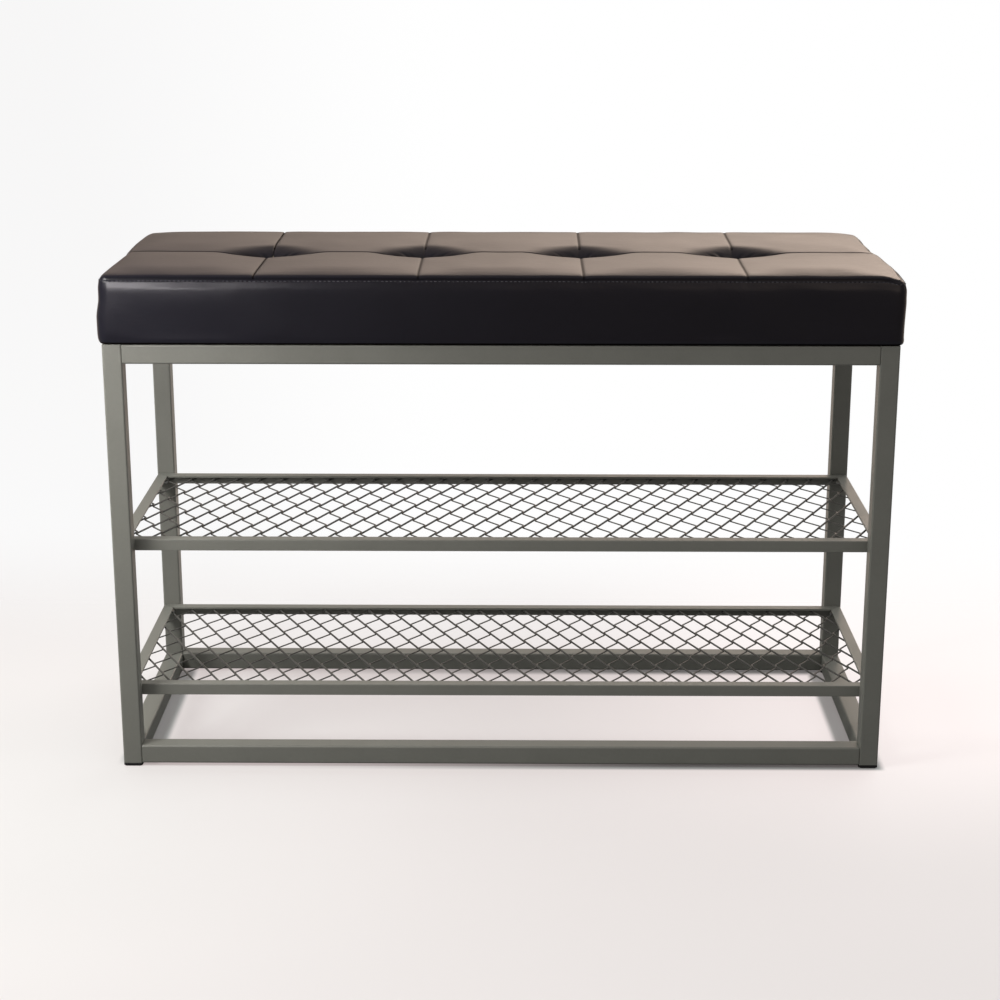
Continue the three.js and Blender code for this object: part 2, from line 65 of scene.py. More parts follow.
BODY = "root"
MM = 0.001
ENDS = {"front": -1, "rear": 1}
SIDES = {"left": -1, "right": 1}
CORNERS = [f"{end}_{side}" for end in ENDS for side in SIDES]
LEVELS = ("upper", "lower")
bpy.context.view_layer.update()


# ---------------------------------------------------------------------------
# Places read from the frame
# ---------------------------------------------------------------------------


def middle(node):
    low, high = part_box(node)
    return (low + high) / 2


def extent(node):
    low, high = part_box(node)
    return high - low


TUBE_SIZE = extent("leg_front_left").x
LEG_OUTER_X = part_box("leg_front_right")[1].x
SEAT_LOW, SEAT_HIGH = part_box("seat_cover")
SEAT_HALF = Vector((SEAT_HIGH.x, SEAT_HIGH.y))
TUFT_XS = [middle(f"tuft_tie_{i + 1}").x for i in range(4)]


# ---------------------------------------------------------------------------
# Sizes and colours that a user would change
# ---------------------------------------------------------------------------


def length(name, description, millimetres):
    return FloatProperty(
        name=name,
        description=description,
        default=millimetres * MM,
        min=0.0,
        precision=5,
        unit="LENGTH",
    )


def colour(name, description, red, green, blue):
    return FloatVectorProperty(
        name=name,
        description=description,
        default=(red, green, blue),
        min=0.0,
        max=1.0,
        subtype="COLOR",
    )


def share(name, description, value):
    return FloatProperty(
        name=name, description=description, default=value, min=0.0, max=1.0, subtype="FACTOR"
    )


def number(name, description, value):
    return FloatProperty(name=name, description=description, default=value, min=0.0)


class FrameSettings(PropertyGroup):
    tube_wall: length("Tube wall", "Wall of the square steel tube", 1.2)
    tube_corner: length("Tube corner", "Outer corner radius of the tube", 2.0)
    end_chamfer: length("End chamfer", "Chamfer where a tube was cut off", 0.35)
    end_plate: length("End plate", "Plate that closes each end of a long rail", 3.0)
    hole_gap: length("Hole gap", "Clearance round a bolt or screw", 0.2)
    foot_chamfer: length("Foot chamfer", "Chamfer round the foot's sole", 1.2)
    access_gap: length("Access gap", "Room round a seat screw's head in the rail's lower wall", 1.3)
    paint: colour("Paint", "Powder coat of the frame", 0.185, 0.187, 0.165)
    paint_roughness: share("Paint roughness", "Roughness of the powder coat", 0.38)


class ShelfSettings(PropertyGroup):
    angle_thickness: length("Angle thickness", "Thickness of the angle section", 2.5)
    angle_corner: length("Angle corner", "Outer corner radius of the angle section", 1.0)
    mitre_gap: length("Mitre gap", "Gap between two mitred bars", 0.15)
    diamond_length: length("Diamond length", "Long way of a mesh opening, front to rear", 51.8)
    diamond_width: length("Diamond width", "Short way of a mesh opening", 26.2)
    strand_width: length("Strand width", "Width of a strand of the mesh", 2.0)
    strand_thickness: length("Strand thickness", "Thickness of the sheet it was cut from", 1.3)
    bond_length: length("Bond length", "Length of the joint between two strands", 4.2)
    strand_rise: length("Strand rise", "How far a strand climbs from one bond to the next", 1.9)
    paint: colour("Mesh paint", "Powder coat of the mesh", 0.085, 0.084, 0.077)


class SeatSettings(PropertyGroup):
    skin: length("Skin", "Thickness of the leather", 1.4)
    corner: length("Corner", "Radius of the cushion's upright corners", 10.0)
    roll: length("Edge roll", "Width of the rolled edge round the top", 9.0)
    tuft_depth: length("Tuft depth", "Depth of a tufted dimple", 23.0)
    seam_depth: length("Seam depth", "Depth of the groove along a seam", 1.5)
    seam_width: length("Seam width", "Half width of the groove along a seam", 0.55)
    stitch_drop: length("Stitch drop", "From the top of the cushion down to its stitched line", 5.2)
    stitch_pitch: length("Stitch pitch", "Distance from one stitch to the next", 4.4)
    stitch_radius: length("Stitch radius", "Half thickness of the thread", 0.38)
    staple_pitch: length("Staple pitch", "Distance from one staple to the next", 40.0)
    leather: colour("Leather", "Faux leather of the seat", 0.0085, 0.0085, 0.0145)
    leather_roughness: share("Leather roughness", "Roughness of the leather", 0.29)
    thread: colour("Thread", "Stitching thread", 0.085, 0.085, 0.098)


class StageSettings(PropertyGroup):
    focal_length: number("Focal length", "Lens of the camera in millimetres, on a 36 mm sensor", 73.854)
    floor: colour("Floor", "Colour of the studio floor", 0.27, 0.30, 0.295)
    # Painted light: a colour that only the camera sees glowing on the floor, shaped into painted light, shade
    # and rail shadows.
    painted_floor_light: colour("Floor haze", "Pale haze that the camera sees on the floor", 0.540, 0.468, 0.460)
    floor_bounce: colour("Floor bounce", "Colour that the floor lends to the bench", 0.135, 0.133, 0.133)
    backdrop: colour("Backdrop", "Colour behind the bench's left end", 0.93, 0.925, 0.925)
    room: number("Room", "Light from the unlit room", 0.28)
    overhead: number("Overhead", "Light from above", 0.45)
    wall: number("Wall", "Light from the wall behind", 3.2)
    side_wall: number("Side wall", "Light from the left", 1.6)
    shine: number("Shine", "What the top of the seat reflects at its right end", 3.25)
    key_power: number("Key power", "Power of the main lamp in watts", 2.88)
    gleam_power: number("Gleam power", "Power of the small lamp at the left in watts", 0.21)


# ---------------------------------------------------------------------------
# Shader helpers
# ---------------------------------------------------------------------------


def give(tree, socket, value):
    """Sets an input to a value, or links it to another node's output."""
    if isinstance(value, bpy.types.NodeSocket):
        tree.links.new(value, socket)
    else:
        socket.default_value = value


def add_node(tree, kind, inputs=None, **settings):
    """A new node, with its settings and inputs set."""
    node = tree.nodes.new(kind)
    for key, value in settings.items():
        setattr(node, key, value)
    for key, value in (inputs or {}).items():
        give(tree, node.inputs[key], value)
    return node


def output(tree, kind, inputs=None, **settings):
    """The first output of a new node."""
    return add_node(tree, kind, inputs, **settings).outputs[0]


def math_node(tree, operation, first, second=0.0):
    return output(tree, "ShaderNodeMath", {0: first, 1: second}, operation=operation)


def times(tree, *values):
    return reduce(partial(math_node, tree, "MULTIPLY"), values)


def plus(tree, *values):
    return reduce(partial(math_node, tree, "ADD"), values)


def scaled(tree, vector, factor):
    return output(tree, "ShaderNodeVectorMath", {0: vector, "Scale": factor}, operation="SCALE")


def axes_of(tree, vector):
    return add_node(tree, "ShaderNodeSeparateXYZ", {0: vector}).outputs


def mapped(tree, value, low, high, to_low, to_high):
    inputs = {"Value": value, "From Min": low, "From Max": high, "To Min": to_low, "To Max": to_high}
    return output(tree, "ShaderNodeMapRange", inputs)


def smooth_step(tree, value, low, high):
    inputs = {"Value": value, "From Min": low, "From Max": high}
    return output(tree, "ShaderNodeMapRange", inputs, interpolation_type="SMOOTHSTEP")


def blended(tree, factor, first, second):
    node = add_node(tree, "ShaderNodeMix", {"Factor": factor, 6: first, 7: second}, data_type="RGBA")
    return node.outputs[2]


def noise(tree, vector, scale, detail=2.0, roughness=0.5, distortion=0.0):
    inputs = {"Vector": vector, "Scale": scale, "Detail": detail}
    inputs |= {"Roughness": roughness, "Distortion": distortion}
    return add_node(tree, "ShaderNodeTexNoise", inputs).outputs["Fac"]


def stretched(tree, vector, scale):
    return output(tree, "ShaderNodeMapping", {"Vector": vector, "Scale": scale})


def shader_group(name, inputs, outputs):
    """An empty shader node group with its input and output nodes."""
    tree = bpy.data.node_groups.new(name, "ShaderNodeTree")
    for socket_name, kind, default in inputs:
        socket = tree.interface.new_socket(name=socket_name, in_out="INPUT", socket_type=kind)
        if default is not None:
            socket.default_value = default
    for socket_name, kind in outputs:
        tree.interface.new_socket(name=socket_name, in_out="OUTPUT", socket_type=kind)
    return tree, tree.nodes.new("NodeGroupInput"), tree.nodes.new("NodeGroupOutput")


FLOAT = "NodeSocketFloat"
VECTOR = "NodeSocketVector"
COLOUR = "NodeSocketColor"


def make_mottle_group():
    """Slow and fine variation of one colour, and a roughness that follows it."""
    tree, source, sink = shader_group(
        "Mottle",
        [
            ("Vector", VECTOR, None),
            ("Color", COLOUR, (0.5, 0.5, 0.5, 1.0)),
            ("Amount", FLOAT, 0.1),
            ("Scale", FLOAT, 30.0),
            ("Roughness", FLOAT, 0.5),
            ("Roughness Amount", FLOAT, 0.05),
        ],
        [("Color", COLOUR), ("Roughness", FLOAT)],
    )
    out = source.outputs
    slow = noise(tree, out["Vector"], out["Scale"], 3.0, 0.55)
    fine = noise(tree, out["Vector"], times(tree, out["Scale"], 14.0))
    both = plus(tree, mapped(tree, slow, 0.3, 0.7, -0.65, 0.65), mapped(tree, fine, 0.3, 0.7, -0.35, 0.35))
    gain = math_node(tree, "MULTIPLY_ADD", both, out["Amount"])
    gain.node.inputs[2].default_value = 1.0
    give(tree, sink.inputs["Color"], scaled(tree, out["Color"], gain))
    swing = times(tree, both, out["Roughness Amount"])
    give(tree, sink.inputs["Roughness"], plus(tree, out["Roughness"], swing))


def make_orange_peel_group():
    """The faint skin of sprayed or moulded surfaces, as a height."""
    tree, source, sink = shader_group(
        "Orange Peel",
        [("Vector", VECTOR, None), ("Scale", FLOAT, 700.0), ("Speckle", FLOAT, 0.3)],
        [("Height", FLOAT)],
    )
    out = source.outputs
    peel = noise(tree, out["Vector"], out["Scale"], 1.5, 0.4)
    speckle = noise(tree, out["Vector"], times(tree, out["Scale"], 3.7), 1.0)
    give(tree, sink.inputs["Height"], plus(tree, peel, times(tree, speckle, out["Speckle"])))


def make_leather_grain_group():
    """Pebbled cells with fine creases between them, as a height."""
    tree, source, sink = shader_group(
        "Leather Grain",
        [("Vector", VECTOR, None), ("Scale", FLOAT, 900.0), ("Crease", FLOAT, 0.5)],
        [("Height", FLOAT)],
    )
    out = source.outputs
    inputs = {"Vector": out["Vector"], "Scale": 260.0, "Detail": 2.0}
    wander = add_node(tree, "ShaderNodeTexNoise", inputs).outputs["Color"]
    inputs = {0: out["Vector"], 1: scaled(tree, wander, 0.0012)}
    bent = output(tree, "ShaderNodeVectorMath", inputs, operation="ADD")
    inputs = {"Vector": bent, "Scale": out["Scale"]}
    cells = add_node(tree, "ShaderNodeTexVoronoi", inputs, feature="DISTANCE_TO_EDGE").outputs["Distance"]
    tops = mapped(tree, cells, 0.0, 0.22, 0.0, 1.0)
    folds = noise(tree, stretched(tree, out["Vector"], (0.35, 1.0, 1.0)), 330.0, 4.0, 0.6, 0.6)
    folded = times(tree, mapped(tree, folds, 0.35, 0.65, 0.0, 1.0), out["Crease"])
    give(tree, sink.inputs["Height"], plus(tree, tops, folded))


def place_group(tree, name, inputs):
    """A node that uses one of the shared groups. Returns its outputs."""
    return add_node(tree, "ShaderNodeGroup", inputs, node_tree=bpy.data.node_groups[name]).outputs


def new_material(name, **values):
    """A material with its Principled shader's plain values set. Returns it, the tree, shader and place."""
    material = bpy.data.materials.new(name)
    material.use_nodes = True
    tree = material.node_tree
    shader = tree.nodes["Principled BSDF"]
    for key, value in values.items():
        shader.inputs[key.replace("_", " ")].default_value = value
    place = tree.nodes.new("ShaderNodeTexCoord").outputs["Object"]
    return material, tree, shader, place


def rgba(values):
    return (*values, 1.0)


def mottle(tree, shader, place, values, amount, scale, roughness, roughness_amount):
    """Feeds the shader's colour and roughness from a mottle group."""
    inputs = {
        "Vector": place,
        "Color": rgba(values),
        "Amount": amount,
        "Scale": scale,
        "Roughness": roughness,
        "Roughness Amount": roughness_amount,
    }
    made = place_group(tree, "Mottle", inputs)
    give(tree, shader.inputs["Base Color"], made["Color"])
    give(tree, shader.inputs["Roughness"], made["Roughness"])


def bump(tree, shader, height, distance):
    normal = output(tree, "ShaderNodeBump", {"Height": height, "Distance": distance})
    give(tree, shader.inputs["Normal"], normal)


def orange_peel(tree, shader, place, scale, speckle, distance):
    peel = place_group(tree, "Orange Peel", {"Vector": place, "Scale": scale, "Speckle": speckle})
    bump(tree, shader, peel["Height"], distance)


# ---------------------------------------------------------------------------
# Materials
# ---------------------------------------------------------------------------


def make_powder_coat(name, paint, roughness):
    material, tree, shader, place = new_material(name, Specular_IOR_Level=0.5)
    mottle(tree, shader, place, paint, 0.05, 25.0, roughness, 0.05)
    orange_peel(tree, shader, place, 620.0, 0.35, 0.00006)
    return material


def make_moulded_plastic():
    material, tree, shader, place = new_material("Black Plastic", Specular_IOR_Level=0.4)
    mottle(tree, shader, place, (0.012, 0.012, 0.013), 0.15, 60.0, 0.55, 0.08)
    orange_peel(tree, shader, place, 1500.0, 0.8, 0.00008)
    return material


def make_leather(seat):
    """Black faux leather. Its coat has no shine of its own; its near-black tint darkens the leather where the
    seam attribute is set: on the seam lines, partly as painted shade, and as painted shade under the bottom
    edge, along the rolled top edge and in the tufts.
    """
    material, tree, shader, place = new_material(
        "Faux Leather", Specular_IOR_Level=0.5, Sheen_Weight=0.06, Sheen_Roughness=0.4, Coat_IOR=1.0
    )
    # Painted shade: the coat's near-black tint darkens the leather wherever the seam attribute is set.
    shader.inputs["Coat Tint"].default_value = (0.05, 0.05, 0.05, 1.0)
    shader.inputs["Sheen Tint"].default_value = (0.9, 0.72, 0.6, 1.0)
    mottle(tree, shader, place, seat.leather, 0.08, 12.0, seat.leather_roughness, 0.015)
    seam = add_node(tree, "ShaderNodeAttribute", attribute_name="seam").outputs["Fac"]
    give(tree, shader.inputs["Coat Weight"], seam)
    grain = place_group(tree, "Leather Grain", {"Vector": place, "Scale": 1100.0, "Crease": 0.7})["Height"]
    waves = noise(tree, place, 150.0, 3.0, 0.6)
    streaks = noise(tree, stretched(tree, place, (0.25, 1.0, 1.0)), 300.0)
    height = plus(tree, times(tree, grain, 0.06), times(tree, waves, 0.25), times(tree, streaks, 0.5))
    bump(tree, shader, height, 0.00016)
    return material


def make_foam():
    material, tree, shader, place = new_material("Seat Foam", Specular_IOR_Level=0.2)
    mottle(tree, shader, place, (0.78, 0.68, 0.47), 0.08, 18.0, 0.95, 0.03)
    cells = add_node(tree, "ShaderNodeTexVoronoi", {"Vector": place, "Scale": 900.0}).outputs["Distance"]
    bump(tree, shader, cells, 0.0004)
    return material


PLY_THICKNESS = 3.4 * MM


def make_plywood():
    """Bare plywood: long grain on its faces and thin plies on its edges."""
    material, tree, shader, place = new_material("Bare Plywood", Specular_IOR_Level=0.25)
    fibres = noise(tree, stretched(tree, place, (6.0, 120.0, 120.0)), 1.0, 6.0, 0.6, 0.8)
    ply = math_node(tree, "FRACT", times(tree, axes_of(tree, place)["Z"], 1 / PLY_THICKNESS))
    layer = mapped(tree, ply, 0.42, 0.58, 0.0, 0.45)
    dark = plus(tree, mapped(tree, fibres, 0.3, 0.7, 0.0, 0.7), layer)
    shade_ = blended(tree, dark, rgba((0.62, 0.45, 0.27)), rgba((0.40, 0.26, 0.13)))
    give(tree, shader.inputs["Base Color"], shade_)
    give(tree, shader.inputs["Roughness"], mapped(tree, fibres, 0.2, 0.8, 0.62, 0.8))
    bump(tree, shader, fibres, 0.0002)
    return material


DOT_PITCH = 1.8 * MM


def make_spun_cloth():
    """Black non-woven cloth, pressed in small dots."""
    material, tree, shader, place = new_material("Spun Cloth", Specular_IOR_Level=0.2)
    mottle(tree, shader, place, (0.018, 0.018, 0.019), 0.3, 45.0, 0.92, 0.05)
    fibres = noise(tree, stretched(tree, place, (1.0, 0.5, 1.0)), 1500.0, 3.0, 0.7)
    rows = []
    for axis in ("X", "Y"):
        wave = math_node(tree, "SINE", times(tree, axes_of(tree, place)[axis], math.tau / DOT_PITCH))
        rows.append(mapped(tree, wave, 0.2, 0.7, 0.0, 1.0))
    bump(tree, shader, math_node(tree, "SUBTRACT", fibres, times(tree, *rows)), 0.00025)
    return material


TWIST_PITCH = 0.45 * MM


def make_thread(name, values, roughness):
    """Twisted yarn: a fine slanted ripple over a dyed colour."""
    material, tree, shader, place = new_material(name, Specular_IOR_Level=0.8)
    mottle(tree, shader, place, values, 0.2, 90.0, roughness, 0.08)
    axes = axes_of(tree, place)
    slant = plus(tree, axes["X"], axes["Y"], times(tree, axes["Z"], 1.6))
    twist = math_node(tree, "SINE", times(tree, slant, math.tau / TWIST_PITCH))
    bump(tree, shader, twist, 0.00006)
    return material


def make_steel(name, values, roughness):
    """Turned steel: fine turning marks and a slow change of the plating."""
    material, tree, shader, place = new_material(name, Metallic=1.0)
    mottle(tree, shader, place, values, 0.12, 140.0, roughness, 0.08)
    marks = noise(tree, stretched(tree, place, (1.0, 0.25, 1.0)), 2600.0, 3.0, 0.6)
    bump(tree, shader, marks, 0.00003)
    return material


MATERIALS = {}


def make_materials(scene):
    settings, shelf, seat = scene.bench_frame, scene.bench_shelf, scene.bench_seat
    make_mottle_group()
    make_orange_peel_group()
    make_leather_grain_group()
    MATERIALS.update(
        frame_paint=make_powder_coat("Grey Powder Coat", settings.paint, settings.paint_roughness),
        mesh_paint=make_powder_coat("Mesh Powder Coat", shelf.paint, settings.paint_roughness),
        foot_plastic=make_moulded_plastic(),
        seat_leather=make_leather(seat),
        seat_foam=make_foam(),
        seat_board=make_plywood(),
        dust_cloth=make_spun_cloth(),
        thread=make_thread("Seat Thread", seat.thread, 0.28),
        tie_twine=make_thread("Waxed Twine", (0.62, 0.57, 0.46), 0.6),
        bolt_steel=make_steel("Black Oxide Steel", (0.045, 0.045, 0.047), 0.38),
        screw_steel=make_steel("Zinc Plated Steel", (0.55, 0.56, 0.55), 0.32),
    )


# ---------------------------------------------------------------------------
# Mesh helpers
# ---------------------------------------------------------------------------


def new_object(name, vertices, faces):
    mesh = bpy.data.meshes.new(name)
    mesh.from_pydata([tuple(v) for v in vertices], [], faces)
    mesh.update()
    piece = bpy.data.objects.new(name, mesh)
    bpy.context.scene.collection.objects.link(piece)
    return piece


@contextmanager
def edited(piece):
    """The piece's mesh, open for changes and written back afterwards."""
    work = bmesh.new()
    work.from_mesh(piece.data)
    yield work
    work.to_mesh(piece.data)
    work.free()


def face_outwards(piece, tolerance=1e-7):
    with edited(piece) as work:
        bmesh.ops.remove_doubles(work, verts=work.verts, dist=tolerance)
        bmesh.ops.recalc_face_normals(work, faces=work.faces)


def bake_modifiers(piece):
    """The evaluated mesh becomes the piece's own, and its modifiers go."""
    shown = piece.evaluated_get(bpy.context.evaluated_depsgraph_get())
    mesh = bpy.data.meshes.new_from_object(shown)
    piece.modifiers.clear()
    piece.data = mesh
    return piece


def cut(piece, cutters):
    for cutter in cutters:
        modifier = piece.modifiers.new("Cut", "BOOLEAN")
        modifier.object = cutter
        modifier.solver = "EXACT"
    bake_modifiers(piece)
    for cutter in cutters:
        bpy.data.objects.remove(cutter)
    return piece


def shade(piece, angle=math.radians(32)):
    """Smooth shading with sharp edges past an angle, and flat faces kept flat beside round ones."""
    with edited(piece) as work:
        for face in work.faces:
            face.smooth = True
        for edge in work.edges:
            edge.smooth = len(edge.link_faces) == 2 and edge.calc_face_angle(0.0) < angle
    modifier = piece.modifiers.new("Normals", "WEIGHTED_NORMAL")
    modifier.keep_sharp = True
    modifier.weight = 100
    return bake_modifiers(piece)


def finish_piece(piece, slot, replaced, material=None):
    """Gives the piece its material and hands it to the frame in place of the nodes it stands for."""
    piece.data.materials.clear()
    piece.data.materials.append(MATERIALS[material or slot])
    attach(piece, BODY)
    if replaced:
        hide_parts(*replaced)
    return piece


def rounded_rectangle(width, height, radius, steps=5):
    """Points of a rectangle with round corners, counter-clockwise, centred on the origin."""
    points = []
    for quarter, (sign_x, sign_y) in enumerate(((1, 1), (-1, 1), (-1, -1), (1, -1))):
        for step in range(steps + 1):
            angle = (quarter + step / steps) * math.pi / 2
            x = sign_x * (width / 2 - radius) + radius * math.cos(angle)
            y = sign_y * (height / 2 - radius) + radius * math.sin(angle)
            points.append((x, y))
    return points


def ring_faces(count, rings=2):
    """Quads between one ring of count points and the next."""
    faces = []
    for low in range(0, (rings - 1) * count, count):
        for i in range(count):
            j = (i + 1) % count
            faces.append((low + i, low + j, low + count + j, low + count + i))
    return faces


def lofted(name, vertices, count):
    """A closed solid through rings of count points each."""
    total = len(vertices)
    ends = [tuple(range(count)), tuple(range(total - count, total))]
    piece = new_object(name, vertices, ends + ring_faces(count, total // count))
    face_outwards(piece)
    return piece


AXIS_TURNS = {
    "x": Matrix(((0, 0, 1), (1, 0, 0), (0, 1, 0))),
    "y": Matrix(((1, 0, 0), (0, 0, 1), (0, 1, 0))),
    "z": Matrix.Identity(3),
}


def bar(name, outline, axis, length_, centre, chamfer=0.0):
    """A bar of constant section along an axis, its cut ends chamfered."""
    width = max(x for x, _ in outline) - min(x for x, _ in outline)
    shrink = 1 - 2 * chamfer / width
    rings = [(-length_ / 2, shrink), (length_ / 2, shrink)]
    if chamfer:
        rings.insert(1, (-length_ / 2 + chamfer, 1.0))
        rings.insert(2, (length_ / 2 - chamfer, 1.0))
    turn = AXIS_TURNS[axis]
    vertices = []
    for along, scale in rings:
        vertices += [turn @ Vector((x * scale, y * scale, along)) + centre for x, y in outline]
    return lofted(name, vertices, len(outline))


def turned(name, profile, axis, centre, direction=1, segments=32):
    """A turned solid from its (radius, height) profile, which starts and ends on the axis."""
    turn = AXIS_TURNS[axis]
    vertices = []
    for radius, height in profile:
        for i in range(segments):
            angle = math.tau * i / segments
            point = Vector((radius * math.cos(angle), radius * math.sin(angle), height * direction))
            vertices.append(turn @ point + centre)
    piece = new_object(name, vertices, ring_faces(segments, len(profile)))
    with edited(piece) as work:
        bmesh.ops.remove_doubles(work, verts=work.verts, dist=1e-7)
        bmesh.ops.dissolve_degenerate(work, edges=work.edges, dist=1e-8)
        bmesh.ops.recalc_face_normals(work, faces=work.faces)
    return piece


# ---------------------------------------------------------------------------
# Geometry Nodes helpers
# ---------------------------------------------------------------------------


def geometry_tree(name, inputs):
    """A geometry tree with a Geometry input and output, its named inputs and a Material."""
    tree = bpy.data.node_groups.new(name, "GeometryNodeTree")
    inputs = [("Geometry", "NodeSocketGeometry"), *inputs, ("Material", "NodeSocketMaterial")]
    for socket_name, kind in inputs:
        tree.interface.new_socket(name=socket_name, in_out="INPUT", socket_type=kind)
    tree.interface.new_socket(name="Geometry", in_out="OUTPUT", socket_type="NodeSocketGeometry")
    return tree, tree.nodes.new("NodeGroupInput").outputs


def close_tree(tree, given, geometry):
    """Ends a tree: its instances are made real and get the material."""
    real = output(tree, "GeometryNodeRealizeInstances", {"Geometry": geometry})
    painted = output(tree, "GeometryNodeSetMaterial", {"Geometry": real, "Material": given["Material"]})
    give(tree, tree.nodes.new("NodeGroupOutput").inputs[0], painted)
    return tree


def grow(piece, tree, values):
    """Runs a geometry tree on a piece, and keeps the plain mesh that comes out."""
    modifier = piece.modifiers.new(tree.name, "NODES")
    modifier.node_group = tree
    for item in tree.interface.items_tree:
        if item.in_out == "INPUT" and item.name in values:
            modifier[item.identifier] = values[item.name]
    return bake_modifiers(piece)


def make_repeat_tree():
    """Sets one shape on every point, turned by the point's own angles."""
    tree, given = geometry_tree("Repeat On Points", [("Shape", "NodeSocketObject")])
    shape = add_node(tree, "GeometryNodeObjectInfo", {"Object": given["Shape"]}).outputs["Geometry"]
    turn = add_node(tree, "GeometryNodeInputNamedAttribute", {"Name": "turn"}, data_type="FLOAT_VECTOR")
    rotation = output(tree, "FunctionNodeEulerToRotation", {0: turn.outputs["Attribute"]})
    inputs = {"Points": given["Geometry"], "Instance": shape, "Rotation": rotation}
    return close_tree(tree, given, output(tree, "GeometryNodeInstanceOnPoints", inputs))


def repeat_shape(name, shape, places, turns, slot, replaced):
    """One piece made of copies of a shape, each at its place with its Euler turn."""
    piece = new_object(name, places, [])
    turn = piece.data.attributes.new("turn", "FLOAT_VECTOR", "POINT")
    turn.data.foreach_set("vector", [angle for turn_ in turns for angle in turn_])
    grow(piece, make_repeat_tree(), {"Shape": shape, "Material": MATERIALS[slot]})
    bpy.data.objects.remove(shape)
    shade(piece)
    return finish_piece(piece, slot, replaced)


# How much of a strand's width lies in its bond, and the radii of its bends and of its own edges
BOND_OVERLAP = 0.18
BEND_RADIUS = 2.2 * MM
STRAND_EDGE = 0.3 * MM


def make_mesh_panel_tree():
    """Expanded metal: zigzag ribbons from front to rear, bonded side by side across the panel."""
    sizes = ("Diamond Width", "Diamond Length", "Bond Length", "Strand Width", "Strand Thickness")
    inputs = [("Ribbons", "NodeSocketInt"), ("Rows", "NodeSocketInt")]
    inputs += [(name, FLOAT) for name in (*sizes, "Rise", "Tilt")]
    inputs += [("Centre", VECTOR), ("Facing", VECTOR)]
    tree, given = geometry_tree("Expanded Metal", inputs)
    calc, node = partial(math_node, tree), partial(output, tree)
    index = node("GeometryNodeInputIndex")
    row = calc("FLOOR", calc("MULTIPLY", index, 0.5))
    side = calc("SUBTRACT", calc("MODULO", index, 2.0), 0.5)
    middle_row = calc("MULTIPLY", calc("SUBTRACT", given["Rows"], 1.0), 0.5)
    half_row = calc("MULTIPLY", given["Diamond Length"], 0.5)
    from_middle = calc("MULTIPLY", calc("SUBTRACT", row, middle_row), half_row)
    along = calc("ADD", from_middle, calc("MULTIPLY", side, given["Bond Length"]))
    half_column = calc("MULTIPLY", given["Diamond Width"], 0.5)
    flat_width = calc("MULTIPLY", given["Strand Width"], calc("COSINE", given["Tilt"]))
    swing = calc("SUBTRACT", calc("MULTIPLY", half_column, 0.5), calc("MULTIPLY", flat_width, BOND_OVERLAP))
    inputs = {"Width": given["Strand Thickness"], "Height": given["Strand Width"]}
    profile = node("GeometryNodeCurvePrimitiveQuadrilateral", inputs)
    inputs = {"Curve": profile, "Count": 1, "Radius": STRAND_EDGE}
    profile = node("GeometryNodeFilletCurve", inputs, mode="POLY")
    half_count = calc("MULTIPLY", given["Ribbons"], 0.5)
    step = node("ShaderNodeCombineXYZ", {"X": given["Diamond Width"]})
    joined = tree.nodes.new("GeometryNodeJoinGeometry")
    for phase in (0.0, 1.0):
        parity = calc("MODULO", calc("ADD", row, phase), 2.0)
        sign = calc("SUBTRACT", 1.0, calc("MULTIPLY", parity, 2.0))
        up = calc("MULTIPLY", sign, calc("MULTIPLY", given["Rise"], 0.5))
        at = node("ShaderNodeCombineXYZ", {"X": calc("MULTIPLY", sign, swing), "Y": along, "Z": up})
        points = node("GeometryNodeMeshLine", {"Count": calc("MULTIPLY", given["Rows"], 2.0)})
        placed = node("GeometryNodeSetPosition", {"Geometry": points, "Position": at})
        path = node("GeometryNodeMeshToCurve", {"Mesh": placed})
        inputs = {"Curve": path, "Count": 2, "Radius": BEND_RADIUS, "Limit Radius": True}
        path = node("GeometryNodeFilletCurve", inputs, mode="POLY")
        path = node("GeometryNodeSetCurveNormal", {"Curve": path}, mode="Z_UP")
        path = node("GeometryNodeSetCurveTilt", {"Curve": path, "Tilt": given["Tilt"]})
        ribbon = node("GeometryNodeCurveToMesh", {"Curve": path, "Profile Curve": profile, "Fill Caps": True})
        first = calc("SUBTRACT", phase + 0.5, half_count)
        start = node("ShaderNodeCombineXYZ", {"X": calc("MULTIPLY", first, half_column)})
        inputs = {"Count": half_count, "Start Location": start, "Offset": step}
        columns = node("GeometryNodeMeshLine", inputs)
        half = node("GeometryNodeInstanceOnPoints", {"Points": columns, "Instance": ribbon})
        tree.links.new(half, joined.inputs[0])
    turn = node("FunctionNodeEulerToRotation", {0: given["Facing"]})
    inputs = {"Geometry": joined.outputs[0], "Translation": given["Centre"], "Rotation": turn}
    return close_tree(tree, given, node("GeometryNodeTransform", inputs))


def make_stitch_tree():
    """Stitches at a fixed pitch along a closed line, each a thread with rounded ends."""
    tree, given = geometry_tree("Stitches", [("Pitch", FLOAT), ("Length", FLOAT), ("Radius", FLOAT)])
    node = partial(output, tree)
    path = node("GeometryNodeMeshToCurve", {"Mesh": given["Geometry"]})
    inputs = {"Curve": path, "Length": given["Pitch"]}
    points = add_node(tree, "GeometryNodeCurveToPoints", inputs, mode="LENGTH").outputs
    rotation = node("FunctionNodeAlignRotationToVector", {"Vector": points["Tangent"]}, axis="X")
    inputs = {"Segments": 8, "Rings": 6, "Radius": given["Radius"]}
    ball = add_node(tree, "GeometryNodeMeshUVSphere", inputs).outputs["Mesh"]
    stretch = math_node(tree, "DIVIDE", given["Length"], times(tree, given["Radius"], 2.0))
    scale = node("ShaderNodeCombineXYZ", {"X": stretch, "Y": 1.0, "Z": 1.0})
    inputs = {"Points": points["Points"], "Instance": ball, "Rotation": rotation, "Scale": scale}
    return close_tree(tree, given, node("GeometryNodeInstanceOnPoints", inputs))


# ---------------------------------------------------------------------------
# Frame pieces
# ---------------------------------------------------------------------------


